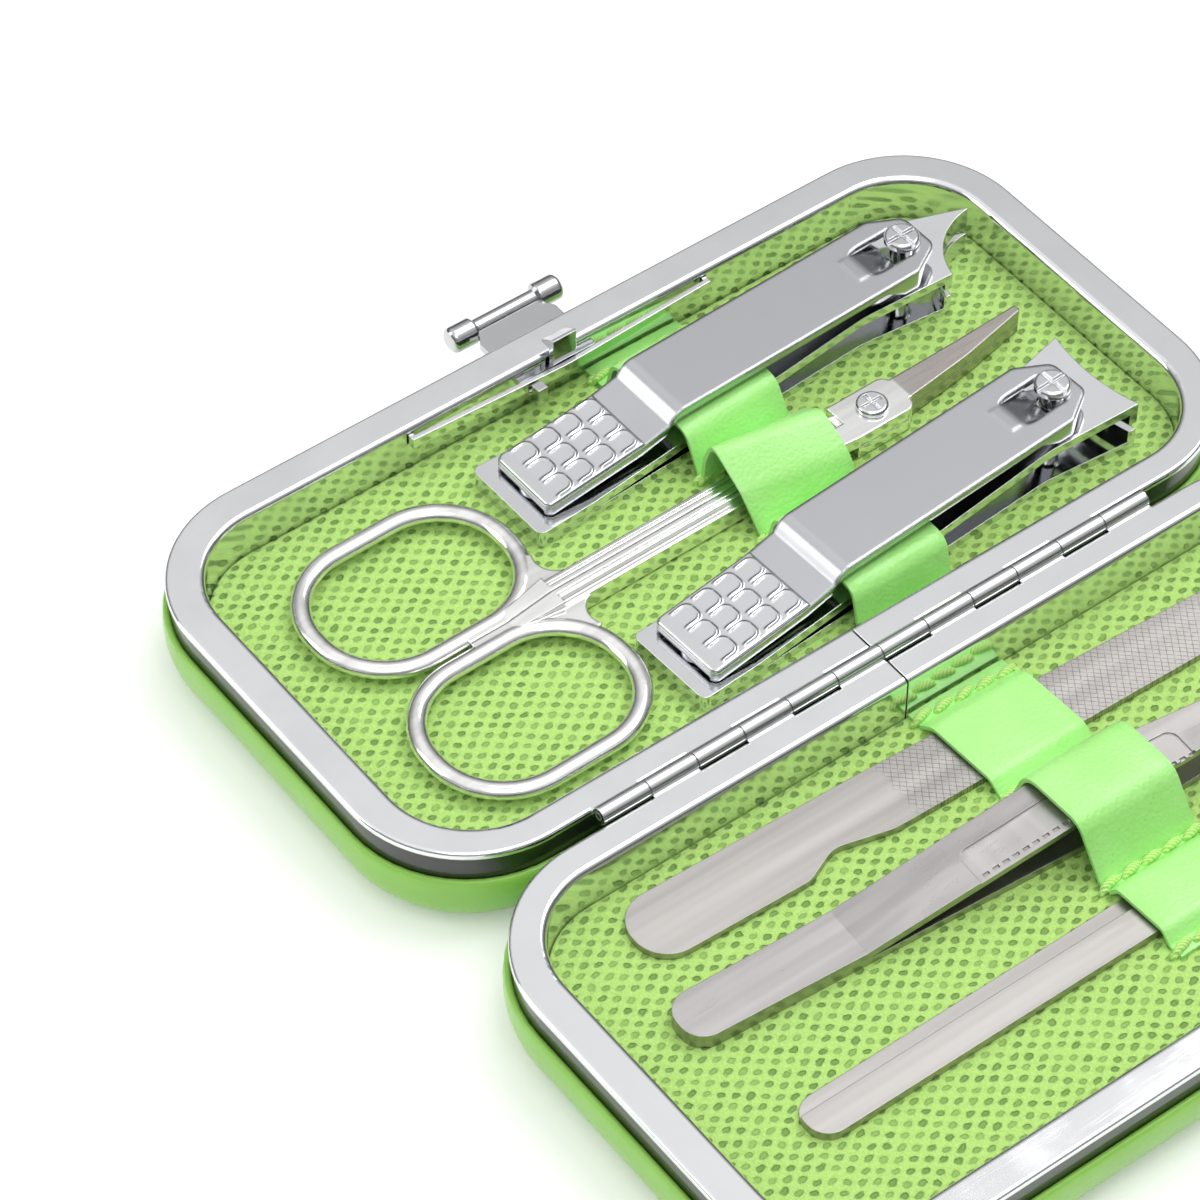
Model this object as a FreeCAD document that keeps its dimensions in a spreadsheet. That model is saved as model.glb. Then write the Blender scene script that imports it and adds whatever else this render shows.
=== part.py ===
import FreeCAD, Part
import math
import os
from types import SimpleNamespace

import Sketcher
from FreeCAD import Placement, Rotation, Vector

# Manicure set case, open flat: two chromed frames on a piano hinge, lined trays in padded covers,
# a push-button clasp, and steel tools held by straps.
# Every piece of the case is drawn from the hinge line: X along the hinge, Y into the half, Z = 0 on the flange.

SIZES = {
    # both halves of the case
    "case_length": 114.0,
    "half_depth": 60.0,
    "half_height": 12.4,
    "hinge_setback": 1.2,
    "corner_radius": 14.9,
    "flange_width": 4.4,
    "hinge_flange_width": 3.64,
    "inner_corner_radius": 10.4,
    "sheet": 0.8,
    "lip_radius": 0.7,
    "edge_radius": 0.4,
    "tray_depth": 5.8,
    "lining_thickness": 1.2,
    "lining_clearance": 0.05,
    "seam_gap": 0.2,
    "shell_inset": 0.3,
    "shell_wall": 1.4,
    "shell_floor": 1.4,
    "cover_drop": 4.1,
    "cover_bulge": 0.6,
    "cover_round": 5.0,
    "cover_rim": 0.4,
    # hinge
    "knuckle_pitch": 6.2,
    "knuckle_gap": 0.12,
    "barrel_radius": 1.05,
    "hinge_rise": 0.15,
    "hinge_pin_radius": 0.45,
    "hinge_pin_clearance": 0.05,
    # clasp
    "slide_width": 10.6,
    "slide_neck": 9.2,
    "slide_neck_ramp": 1.0,
    "slide_thickness": 0.8,
    "slide_drop": 2.4,
    "clasp_clearance": 0.15,
    "hook_width": 3.2,
    "hook_thickness": 0.8,
    "hook_setback": 0.4,
    "hook_height": 2.9,
    "barb_reach": 1.4,
    "barb_height": 1.6,
    "barb_face": 0.4,
    "window_margin": 0.6,
    "peg_size": 1.3,
    "peg_offset": 4.0,
    "button_reach": 6.1,
    "button_length": 15.4,
    "knob_radius": 1.6,
    "knob_length": 3.2,
    "knob_round": 0.75,
    "bar_radius": 1.05,
    "spring_half_span": 20.5,
    "spring_thickness": 0.6,
    "spring_height": 1.4,
    "spring_play": 0.15,
    "spring_bend": 25.0,
    "spring_end_gap": 0.5,
    # straps
    "strap_width": 13.0,
    "strap_thickness": 0.8,
    "strap_bend": 1.6,
    "strap_low_bend": 0.6,
    "strap_end_gap": 0.3,
    "strap_side_gap": 0.5,
    "strap_leg": 1.2,
    "strap_low_leg": 0.7,
    "strap_step_gap": 0.1,
    "strap_flat": 2.0,
    "large_drift": 0.4,
    "small_drift": 1.2,
    "arm_arch_height": 5.2,
    "scissors_arch_height": 6.8,
    "file_drift": -1.6,
    "flat_arch_gap": 0.3,
    "tweezers_drift": -3.05,
    "tweezers_arch_gap": 0.5,
    "tweezers_arch_slack": 2.3,
    "lid_strap_tail": 2.4,
    # both clippers
    "arm_thickness": 1.2,
    "seat_length": 8.0,
    "jaw_crest": 6.9,
    "upper_edge": 4.0,
    "lower_edge": 2.9,
    "jaw_length": 12.0,
    "lip_thickness": 0.9,
    "lip_lap": 0.2,
    "tail_round": 0.9,
    "pin_shank": 1.35,
    "pin_head": 2.1,
    "pin_cap": 0.9,
    "pin_foot": 2.0,
    "pin_foot_height": 0.5,
    "pin_play": 0.3,
    "pin_slot": 0.6,
    "pin_slot_depth": 0.45,
    "head_gap": 0.05,
    "rivet_place": 4.2,
    "rivet_shank": 1.2,
    "rivet_head": 1.9,
    "rivet_cap": 0.4,
    "rivet_play": 0.1,
    "lever_sheet": 0.8,
    "lever_top": 8.8,
    "lever_step_top": 7.8,
    "pad_top": 5.3,
    "pad_rear_top": 3.8,
    "lever_wall": 1.2,
    "lever_step_place": 20.2,
    "lever_ramp": 5.0,
    "riser_run": 1.1,
    "riser_height": 1.5,
    "pad_rear": 2.2,
    "lever_nose": 2.55,
    "lever_nose_width": 5.4,
    "lever_round": 1.4,
    "ramp_round": 5.0,
    "riser_round": 2.2,
    "pad_edge_round": 0.5,
    "cheek_rear": 6.0,
    "cheek_low": 3.4,
    "cheek_front": 1.4,
    "cheek_seat_gap": 0.12,
    "drop_front": 1.85,
    "drop_rear": 2.4,
    "drop_length": 7.0,
    "tongue_width": 3.8,
    "tongue_front": 2.1,
    "tongue_fall": 1.5,
    "tongue_round": 3.0,
    "tooth_size": 2.8,
    "tooth_bevel": 0.35,
    "tooth_height": 0.5,
    "tooth_sink": 0.15,
    "tooth_pitch_long": 3.0,
    "tooth_pitch_wide": 3.0,
    "tooth_margin": 1.3,
    # small clipper
    "small_length_share": 0.5482,
    "small_tail": 11.9,
    "small_waist": 10.2,
    "small_horn": 6.7,
    "small_horn_back": 0.0,
    "small_tip": 6.7,
    "small_far_back": 12.0,
    "small_far_round": 12.0,
    "small_bite_radius": 26.0,
    "small_bite_ahead": 25.1,
    "small_bite_side": 0.0,
    "small_pin_back": 7.0,
    "small_lever": 10.2,
    "small_rear_x_share": -0.1509,
    "small_rear_y_share": 0.2362,
    "small_angle": 2.7,
    # large clipper
    "large_length_share": 0.5904,
    "large_tail": 12.6,
    "large_waist": 8.8,
    "large_horn": 5.8,
    "large_horn_back": 7.9,
    "large_tip": 0.9,
    "large_far_back": 7.6,
    "large_far_round": 8.0,
    "large_lever": 9.8,
    "large_rear_x_share": -0.1474,
    "large_rear_y_share": 0.7333,
    "large_angle": 0.8,
    "large_bite_radius": 8.0,
    "large_bite_ahead": -0.1,
    "large_bite_side": -7.2,
    "large_pin_back": 10.8,
    # scissors, drawn from their pivot
    "scissors_x_share": 0.2096,
    "scissors_y_share": 0.5060,
    "scissors_angle": 0.78,
    "scissors_lift": 0.2,
    "blade_layer": 1.6,
    "blade_gap": 0.05,
    "shank_gap": 0.05,
    "shank_width": 2.2,
    "shank_step": 0.8,
    "shank_start": 6.4,
    "shank_tail": 0.9,
    "shank_groove": 0.4,
    "shank_groove_place": 0.75,
    "shank_groove_depth": 0.35,
    "boss_length": 4.2,
    "boss_width": 5.8,
    "boss_round": 1.3,
    "blade_length": 23.1,
    "blade_sweep": 1.87,
    "blade_root": 4.0,
    "blade_middle": 13.7,
    "blade_middle_width": 2.5,
    "blade_middle_sweep": 0.83,
    "blade_curve": 24.0,
    "blade_tip_width": 0.95,
    "blade_tip_round": 0.4,
    "web_round": 2.7,
    "web_low": 0.5,
    "web_high": 2.3,
    "ring_place_share": 0.4908,
    "ring_offset_share": 0.1758,
    "ring_half_length_share": 0.1101,
    "ring_half_width_share": 0.1533,
    "ring_corner_share": 0.1467,
    "ring_wire": 1.15,
    "ring_rise": 0.9,
    "ring_level": 1.5,
    "screw_shank": 1.2,
    "screw_play": 0.05,
    "screw_head": 1.85,
    "screw_cap": 0.7,
    "screw_slot": 0.5,
    # nail file
    "file_x_share": -0.3649,
    "file_y_share": -0.1967,
    "file_angle": -1.9,
    "file_length_share": 0.7719,
    "file_handle_width": 8.6,
    "file_blade_width": 7.0,
    "file_thickness": 1.0,
    "file_end_round": 4.1,
    "file_point": 10.0,
    "file_point_round": 0.8,
    "file_shoulder": 30.7,
    "file_notch_start": 19.4,
    "file_notch_depth": 2.1,
    "file_notch_ramp": 4.4,
    "file_notch_round": 3.4,
    "file_neck": 0.5,
    "file_neck_round": 6.0,
    # tweezers
    "tweezers_x_share": -0.3947,
    "tweezers_y_share": -0.3950,
    "tweezers_angle": -3.4,
    "tweezers_length_share": 0.7895,
    "tweezers_width": 7.2,
    "tweezers_rear_width": 6.2,
    "tweezers_tip_width": 2.6,
    "tweezers_tip_slant": 1.6,
    "tweezers_thickness": 1.0,
    "tweezers_joint_share": 0.1842,
    "tweezers_belly_share": 0.4386,
    "tweezers_spread": 4.0,
    "tweezers_tip_gap": 2.3,
    "tweezers_tip_rise": 0.6,
    "tweezers_tip_length": 12.0,
    "tweezers_bend": 20.0,
    "tweezers_end_round": 2.8,
    "grip_start_share": 0.39,
    "grip_end_share": 0.70,
    "grip_edge": 1.0,
    "grip_depth": 0.2,
    "grip_round": 1.2,
    "notch_place": 2.75,
    "notch_width": 0.4,
    "notch_length": 0.75,
    "notch_depth": 0.25,
    # cuticle pusher
    "pusher_x_share": -0.3684,
    "pusher_y_share": -0.6750,
    "pusher_length_share": 0.7456,
    "pusher_width": 5.6,
    "pusher_thickness": 1.2,
    "pusher_ledge": 1.8,
    "pusher_ledge_thickness": 0.7,
    "pusher_end_round": 2.6,
    "pusher_tip_round": 2.2,
    "pusher_spade": 14.0,
    "pusher_spade_width": 3.6,
    # cuts run past their pieces by this much
    "overrun": 1.0,
}

# faces this close to a level, in millimetres, lie on it
SAME_LEVEL = 1e-6
KNUCKLES = 12
# where each scissor ring's web meets its wire, across and down from the corner's centre
WEB_SHARES = ((0.0, 1.0), (0.4226, 0.9063), (0.7071, 0.7071), (0.9216, 0.3881))
TOOTH_ROWS = 4
TOOTH_COLUMNS = 3
GRIP_NOTCHES = 22

doc = FreeCAD.newDocument("manicure_set_case")
sheet = doc.addObject("Spreadsheet::Sheet", "Sizes")
for row, (alias, amount) in enumerate(SIZES.items(), start=1):
    sheet.set("A%d" % row, alias)
    sheet.set("B%d" % row, str(amount))
    sheet.setAlias("B%d" % row, alias)
doc.recompute()


class Size:
    """A length of the sheet, or a sum of such lengths, with the formula that keeps it bound."""

    def __init__(self, value, formula):
        self.value = value
        self.formula = formula

    def __add__(self, other):
        return Size(self.value + number(other), "(%s + %s)" % (self.formula, formula(other)))

    def __sub__(self, other):
        return Size(self.value - number(other), "(%s - %s)" % (self.formula, formula(other)))

    def __rsub__(self, other):
        return as_size(other) - self

    def __radd__(self, other):
        return as_size(other) + self

    def __mul__(self, other):
        return Size(self.value * number(other), "(%s * %s)" % (self.formula, formula(other)))

    def __truediv__(self, other):
        return Size(self.value / number(other), "(%s / %s)" % (self.formula, formula(other)))

    def __neg__(self):
        return Size(-self.value, "(-1 * %s)" % self.formula)


def as_size(item):
    return item if isinstance(item, Size) else Size(float(item), repr(float(item)))


def number(item):
    return as_size(item).value


def formula(item):
    return as_size(item).formula


S = SimpleNamespace(**{alias: Size(float(sheet.get(alias)), "Sizes." + alias) for alias in SIZES})

# the tools are cut and laid out to suit the case, so their lengths and places are shares of it
for tied in (
    "small_length", "small_rear_x", "large_length", "large_rear_x",
    "scissors_x", "ring_place", "ring_half_length", "file_x",
    "file_length", "tweezers_x", "tweezers_length", "pusher_x",
    "pusher_length", "tweezers_joint", "tweezers_belly",
):
    setattr(S, tied, S.case_length * getattr(S, tied + "_share"))
for tied in (
    "small_rear_y", "large_rear_y", "scissors_y", "ring_offset",
    "ring_half_width", "ring_corner", "file_y", "tweezers_y",
    "pusher_y",
):
    setattr(S, tied, S.half_depth * getattr(S, tied + "_share"))


# Drawing

VIEWS = {
    "top": (Rotation(), Vector(0, 0, 1), "z"),
    "side": (Rotation(Vector(1, 0, 0), 90), Vector(0, 1, 0), "y"),
    "end": (Rotation(Vector(1, 1, 1), 120), Vector(1, 0, 0), "x"),
}


def bind(item, prop, size):
    item.setExpression(prop, formula(size))


def fix_point(sketch, geometry, position, corner):
    """Hold a point of a sketch at bound coordinates; a plain zero puts it on the sketch's axis."""
    for kind, axis, size in (("DistanceX", -2, corner[0]), ("DistanceY", -1, corner[1])):
        if isinstance(size, Size):
            dimension = Sketcher.Constraint(kind, -1, 1, geometry, position, size.value)
            index = sketch.addConstraint(dimension)
            bind(sketch, "Constraints[%d]" % index, size)
        else:
            sketch.addConstraint(Sketcher.Constraint("PointOnObject", geometry, position, axis))


def draw(sketch, corners):
    """Draw a closed outline. A corner is (x, y), or (x, y, radius) where it is rounded."""
    count = len(corners)
    places = [Vector(number(c[0]), number(c[1]), 0) for c in corners]
    entry, leave, centres = list(places), list(places), {}
    for i, corner in enumerate(corners):
        if len(corner) == 3:
            back = (places[i - 1] - places[i]).normalize()
            ahead = (places[(i + 1) % count] - places[i]).normalize()
            half = back.getAngle(ahead) / 2
            radius = number(corner[2])
            entry[i] = places[i] + back * (radius / math.tan(half))
            leave[i] = places[i] + ahead * (radius / math.tan(half))
            centres[i] = places[i] + (back + ahead).normalize() * (radius / math.sin(half))
    lines = [
        sketch.addGeometry(Part.LineSegment(leave[i], entry[(i + 1) % count])) for i in range(count)
    ]
    for i, corner in enumerate(corners):
        before, after = lines[i - 1], lines[i]
        if i not in centres:
            sketch.addConstraint(Sketcher.Constraint("Coincident", before, 2, after, 1))
            fix_point(sketch, after, 1, corner)
            continue
        centre, radius = centres[i], number(corner[2])
        first, last = entry[i] - centre, leave[i] - centre
        left_turn = first.cross(last).z > 0
        start, end = (first, last) if left_turn else (last, first)
        circle = Part.Circle(centre, Vector(0, 0, 1), radius)
        arc = sketch.addGeometry(
            Part.ArcOfCircle(circle, math.atan2(start.y, start.x), math.atan2(end.y, end.x))
        )
        point = sketch.addGeometry(Part.Point(places[i]), True)
        into, out = (1, 2) if left_turn else (2, 1)
        sketch.addConstraint(Sketcher.Constraint("Tangent", before, 2, arc, into))
        sketch.addConstraint(Sketcher.Constraint("Tangent", after, 1, arc, out))
        sketch.addConstraint(Sketcher.Constraint("PointOnObject", point, 1, before))
        sketch.addConstraint(Sketcher.Constraint("PointOnObject", point, 1, after))
        index = sketch.addConstraint(Sketcher.Constraint("Radius", arc, radius))
        bind(sketch, "Constraints[%d]" % index, corner[2])
        fix_point(sketch, point, 1, corner)


def outline(name, view, *loops):
    sketch = doc.addObject("Sketcher::SketchObject", name + "_outline")
    sketch.Placement = Placement(Vector(), VIEWS[view][0])
    for corners in loops:
        draw(sketch, corners)
    return sketch


def prism(name, view, corners, low, high):
    """The outline, seen in one view, made solid from low to high along the line of sight."""
    sketch = outline(name, view, corners)
    direction, axis = VIEWS[view][1:]
    bind(sketch, "Placement.Base." + axis, low)
    solid = doc.addObject("Part::Extrusion", name)
    solid.Base = sketch
    solid.DirMode = "Custom"
    solid.Dir = direction
    solid.Solid = True
    bind(solid, "LengthFwd", as_size(high) - low)
    return solid


def turned(name, view, corners, axis, place=0):
    """The outline turned a full circle about an axis of its view, set along X by a distance."""
    solid = doc.addObject("Part::Revolution", name)
    solid.Source = outline(name, view, [(place + c[0], *c[1:]) if place else c for c in corners])
    solid.Axis = axis
    if place:
        bind(solid, "Base.x", place)
    solid.Angle = 360
    solid.Solid = True
    return solid


def put(item, x=0, y=0, z=0, turn=0, about=Vector(0, 0, 1)):
    item.Placement = Placement(Vector(number(x), number(y), number(z)), Rotation(about, number(turn)))
    for axis, size in zip("xyz", (x, y, z)):
        if isinstance(size, Size):
            bind(item, "Placement.Base." + axis, size)
    return item


def box(name, x, y, z):
    """A box between pairs of bound coordinates."""
    solid = doc.addObject("Part::Box", name)
    for prop, (low, high) in zip(("Length", "Width", "Height"), (x, y, z)):
        bind(solid, prop, as_size(high) - low)
    return put(solid, x[0], y[0], z[0])


def rod(name, radius, low, high, x=0, y=0):
    """An upright cylinder between two heights."""
    solid = doc.addObject("Part::Cylinder", name)
    bind(solid, "Radius", radius)
    bind(solid, "Height", as_size(high) - low)
    return put(solid, x, y, low)


def fuse(name, *pieces):
    solid = doc.addObject("Part::MultiFuse", name)
    solid.Shapes = list(pieces)
    return solid


def common(name, *pieces):
    solid = doc.addObject("Part::MultiCommon", name)
    solid.Shapes = list(pieces)
    return solid


def cut(name, piece, *tools):
    solid = doc.addObject("Part::Cut", name)
    solid.Base = piece
    solid.Tool = tools[0] if len(tools) == 1 else fuse(name + "_cutters", *tools)
    return solid


# Bodies built up from sketches


def sketch_at(body, name, level, *loops):
    """A sketch in the body's level plane at a bound height."""
    sketch = body.newObject("Sketcher::SketchObject", name)
    plane = next(item for item in body.Origin.OriginFeatures if item.Role == "XY_Plane")
    sketch.AttachmentSupport = [(plane, "")]
    sketch.MapMode = "FlatFace"
    if isinstance(level, Size):
        bind(sketch, "AttachmentOffset.Base.z", level)
    for corners in loops:
        draw(sketch, corners)
    return sketch


def pad_down(body, name, depth, level, *loops):
    pad = body.newObject("PartDesign::Pad", name)
    pad.Profile = sketch_at(body, name + "_sketch", level, *loops)
    pad.Reversed = True
    bind(pad, "Length", depth)
    return pad


def pocket_down(body, name, depth, level, *loops):
    pocket = body.newObject("PartDesign::Pocket", name)
    pocket.Profile = sketch_at(body, name + "_sketch", level, *loops)
    bind(pocket, "Length", depth)
    return pocket


def rounding(body, name, base, radius, level, inner=False):
    """Round the outer or inner rim of the body's level face at the given height."""
    doc.recompute()
    faces = [
        face
        for face in base.Shape.Faces
        if abs(face.BoundBox.ZMin - number(level)) < SAME_LEVEL and face.BoundBox.ZLength < SAME_LEVEL
    ]
    face = max(faces, key=lambda item: item.BoundBox.DiagonalLength)
    rim = face.OuterWire
    if inner:
        rim = next(wire for wire in face.Wires if not wire.isSame(face.OuterWire))
    names = [
        "Edge%d" % index
        for index, edge in enumerate(base.Shape.Edges, start=1)
        if any(edge.isSame(other) for other in rim.Edges)
    ]
    fillet = body.newObject("PartDesign::Fillet", name)
    fillet.Base = (base, names)
    bind(fillet, "Radius", radius)
    return fillet


# Shared places

FAR = S.hinge_setback + S.half_depth
INNER_NEAR = S.hinge_setback + S.hinge_flange_width
INNER_FAR = FAR - S.flange_width
INNER_HALF = S.case_length / 2 - S.flange_width
FLOOR = -S.tray_depth
WALL_FOOT = FLOOR - S.lining_thickness
SHELL_FOOT = WALL_FOOT - S.shell_floor
SLIDE_TOP = -S.slide_drop
SLIDE_FOOT = SLIDE_TOP - S.slide_thickness
HOOK_OUTER = INNER_FAR - S.hook_setback
HOOK_INNER = HOOK_OUTER - S.hook_thickness
BUTTON_Y = FAR + S.button_reach
HINGE_Y = (S.cover_bulge - S.button_reach - S.knob_radius) / 2
FLANGE_Z = S.half_height
FLOOR_Z = FLANGE_Z + FLOOR

pieces = []


def finish(item, label, x=0, y=HINGE_Y, z=FLANGE_Z, turn=0):
    """Name a finished piece and put it in its place in the case."""
    put(item, x, y, z, turn)
    item.Label = label
    pieces.append(item)
    return item


def rounded_rectangle(half, near, far, radius):
    return [(-half, near, radius), (half, near, radius), (half, far, radius), (-half, far, radius)]


def case_outline(spread):
    """The case's outline, set out from the flange's edge by a distance."""
    return rounded_rectangle(
        S.case_length / 2 + spread, S.hinge_setback - spread, FAR + spread, S.corner_radius + spread
    )


def tray_outline(spread):
    """The tray's inner outline, set out from the frame's inner wall by a distance."""
    return rounded_rectangle(
        INNER_HALF + spread, INNER_NEAR - spread, INNER_FAR + spread, S.inner_corner_radius + spread
    )


# Case halves


def frame(name, openings):
    """Sheet frame: flat flange with a rolled inner lip, a wall down to the tray, and hinge knuckles."""
    body = doc.addObject("PartDesign::Body", name + "_sheet")
    pad_down(body, name + "_flange", S.sheet, 0, case_outline(0), tray_outline(0))
    wall = pad_down(body, name + "_wall", -WALL_FOOT, 0, tray_outline(S.sheet), tray_outline(0))
    lip = rounding(body, name + "_lip", wall, S.lip_radius, 0, inner=True)
    rounding(body, name + "_edge", lip, S.edge_radius, 0)
    parts = [body]
    length = S.knuckle_pitch - S.knuckle_gap
    start = S.knuckle_pitch * (-KNUCKLES / 2) + S.knuckle_gap / 2
    for index in range(0, KNUCKLES, 2):
        left = start + S.knuckle_pitch * index
        barrel = doc.addObject("Part::Cylinder", "%s_barrel_%d" % (name, index))
        bind(barrel, "Radius", S.barrel_radius)
        bind(barrel, "Height", length)
        put(barrel, left, 0, S.hinge_rise, 90, Vector(0, 1, 0))
        leaf = box(
            "%s_leaf_%d" % (name, index),
            (left, left + length),
            (as_size(0), S.hinge_setback + S.sheet),
            (-S.sheet, as_size(0)),
        )
        parts += [barrel, leaf]
    bore = doc.addObject("Part::Cylinder", name + "_bore")
    bind(bore, "Radius", S.hinge_pin_radius + S.hinge_pin_clearance)
    bind(bore, "Height", S.knuckle_pitch * KNUCKLES + S.overrun * 2)
    put(bore, S.knuckle_pitch * (-KNUCKLES / 2) - S.overrun, 0, S.hinge_rise, 90, Vector(0, 1, 0))
    seam = box(
        name + "_seam",
        (-S.seam_gap, as_size(0)),
        (S.hinge_setback - S.overrun, INNER_NEAR + S.overrun),
        (WALL_FOOT - S.overrun, S.overrun),
    )
    return cut(name, fuse(name + "_whole", *parts), bore, seam, *openings)


def wall_slot(name, half, y, low, high):
    return box(name, (-half, half), y, (low, high))


def shell(name, openings):
    """Moulded tray whose plain rim shows between the flange and the cover."""
    body = doc.addObject("PartDesign::Body", name + "_tray")
    top = -S.sheet
    pad_down(body, name + "_block", top - SHELL_FOOT, top, case_outline(-S.shell_inset))
    hollow = case_outline(-S.shell_inset - S.shell_wall)
    pocket_down(body, name + "_hollow", top - WALL_FOOT, top, hollow)
    return cut(name, body, *openings) if openings else body


def cover(name):
    """Padded leathercloth drawn round the shell, flat underneath with well-rounded sides."""
    body = doc.addObject("PartDesign::Body", name)
    top = -S.cover_drop
    block = pad_down(
        body, name + "_block", S.half_height - S.cover_drop, top, case_outline(S.cover_bulge)
    )
    foot = rounding(body, name + "_foot", block, S.cover_round, -S.half_height)
    rounding(body, name + "_rim", foot, S.cover_rim, top)
    pocket_down(body, name + "_seat", top - SHELL_FOOT, top, case_outline(-S.shell_inset))
    return body


def lining(name):
    body = doc.addObject("PartDesign::Body", name)
    pad_down(body, name + "_board", S.lining_thickness, FLOOR, tray_outline(-S.lining_clearance))
    return body


slot_half = S.slide_width / 2 + S.clasp_clearance
slot_low = SLIDE_FOOT - S.clasp_clearance
slot_high = SLIDE_TOP + S.clasp_clearance
spring_low = SLIDE_TOP + S.spring_play
spring_high = spring_low + S.spring_height
spring_hole_half = S.spring_thickness / 2 + S.clasp_clearance
wall_span = (INNER_FAR - S.overrun, INNER_FAR + S.sheet + S.overrun)
spring_holes = [
    box(
        "spring_hole_%d" % index,
        (S.spring_half_span * side - spring_hole_half, S.spring_half_span * side + spring_hole_half),
        wall_span,
        (spring_low - S.clasp_clearance, spring_high + S.clasp_clearance),
    )
    for index, side in enumerate((-1, 1))
]
frame_slot = wall_slot("frame_slot", slot_half, wall_span, slot_low, slot_high)
shell_slot = wall_slot(
    "shell_slot",
    slot_half,
    (FAR - S.shell_inset - S.shell_wall - S.overrun, FAR + S.overrun),
    slot_low,
    slot_high,
)
# in the closed case the barb lies this far below the other half's flange
barb_low = S.hook_height - S.hinge_rise * 2
hook_window = wall_slot(
    "hook_window",
    S.hook_width / 2 + S.window_margin,
    wall_span,
    -barb_low - S.window_margin,
    -S.sheet,
)

finish(frame("base_frame_form", [frame_slot, *spring_holes]), "base_frame")
finish(shell("base_shell_form", [shell_slot]), "base_shell")
finish(cover("base_cover_form"), "base_cover")
finish(lining("base_lining_form"), "base_lining")
finish(frame("lid_frame_form", [hook_window]), "lid_frame", turn=180)
finish(shell("lid_shell_form", []), "lid_shell", turn=180)
finish(cover("lid_cover_form"), "lid_cover", turn=180)
finish(lining("lid_lining_form"), "lid_lining", turn=180)

hinge_pin = doc.addObject("Part::Cylinder", "hinge_pin_form")
bind(hinge_pin, "Radius", S.hinge_pin_radius)
bind(hinge_pin, "Height", S.knuckle_pitch * KNUCKLES - S.knuckle_gap)
put(
    hinge_pin,
    S.knuckle_pitch * (-KNUCKLES / 2) + S.knuckle_gap / 2,
    HINGE_Y,
    FLANGE_Z + S.hinge_rise,
    90,
    Vector(0, 1, 0),
)
hinge_pin.Label = "hinge_pin"
pieces.append(hinge_pin)


# Clasp: a plate through the frame's wall with a hook inside and a bar to push outside


def clasp():
    neck_start = BUTTON_Y - S.knob_radius - S.clasp_clearance
    plate = prism(
        "slide_plate",
        "top",
        [
            (-S.slide_width / 2, HOOK_INNER),
            (S.slide_width / 2, HOOK_INNER),
            (S.slide_width / 2, neck_start - S.slide_neck_ramp),
            (S.slide_neck / 2, neck_start),
            (S.slide_neck / 2, BUTTON_Y),
            (-S.slide_neck / 2, BUTTON_Y),
            (-S.slide_neck / 2, neck_start),
            (-S.slide_width / 2, neck_start - S.slide_neck_ramp),
        ],
        SLIDE_FOOT,
        SLIDE_TOP,
    )
    barb_foot = S.hook_height - S.barb_height
    hook = prism(
        "slide_hook",
        "end",
        [
            (HOOK_INNER, SLIDE_FOOT),
            (HOOK_OUTER, SLIDE_FOOT),
            (HOOK_OUTER, barb_foot),
            (HOOK_OUTER + S.barb_reach, barb_foot),
            (HOOK_OUTER + S.barb_reach, barb_foot + S.barb_face),
            (HOOK_OUTER - S.hook_thickness / 2, S.hook_height),
            (HOOK_INNER, S.hook_height),
        ],
        -S.hook_width / 2,
        S.hook_width / 2,
    )
    peg_far = HOOK_INNER - S.spring_play * 2 - S.spring_thickness
    peg_x = (-S.peg_offset - S.peg_size, -S.peg_offset)
    peg_near = peg_far - S.peg_size
    peg = box("slide_peg", peg_x, (peg_near, peg_far), (SLIDE_FOOT, spring_high))
    tongue = box("slide_tongue", peg_x, (peg_near, HOOK_OUTER), (SLIDE_FOOT, SLIDE_TOP))
    finish(fuse("clasp_slide_form", plate, hook, tongue, peg), "clasp_slide")

    half = S.button_length / 2
    bar = turned(
        "button_bar",
        "top",
        [
            (-half, 0),
            (half, 0),
            (half, S.knob_radius, S.knob_round),
            (half - S.knob_length, S.knob_radius, S.knob_round / 2),
            (half - S.knob_length - S.knob_round / 2, S.bar_radius),
            (-half + S.knob_length + S.knob_round / 2, S.bar_radius),
            (-half + S.knob_length, S.knob_radius, S.knob_round / 2),
            (-half, S.knob_radius, S.knob_round),
        ],
        Vector(1, 0, 0),
    )
    middle = (SLIDE_TOP + SLIDE_FOOT) / 2
    put(bar, 0, BUTTON_Y, middle)
    mouth = box(
        "button_mouth",
        (-S.slide_neck / 2, S.slide_neck / 2),
        (BUTTON_Y - S.knob_radius - S.overrun, BUTTON_Y),
        (SLIDE_FOOT, SLIDE_TOP),
    )
    finish(cut("clasp_button_form", bar, mouth), "clasp_button")

    outer_end = INNER_FAR - S.spring_end_gap
    outer_mid = HOOK_INNER - S.spring_play
    hook_tip = INNER_FAR + S.sheet
    left_in = -S.spring_half_span - S.spring_thickness / 2
    left_out = -S.spring_half_span + S.spring_thickness / 2
    strip = prism(
        "clasp_spring_form",
        "top",
        [
            (left_in, hook_tip),
            (left_in, outer_end - S.spring_thickness),
            (0, outer_mid - S.spring_thickness, S.spring_bend),
            (-left_in, outer_end - S.spring_thickness),
            (-left_in, hook_tip),
            (-left_out, hook_tip),
            (-left_out, outer_end),
            (0, outer_mid, S.spring_bend),
            (left_out, outer_end),
            (left_out, hook_tip),
        ],
        spring_low,
        spring_high,
    )
    finish(strip, "clasp_spring")


clasp()


# Straps, sewn flat to the lining between the arches that hold the tools


def arch(centre, half, far_leg, near_leg, height, bend):
    """Feet, shoulders, height and bend of one arch of a strap, from its far side."""
    far, near = centre + half, centre - half
    return far + far_leg, far, near, near - near_leg, height, bend


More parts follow.
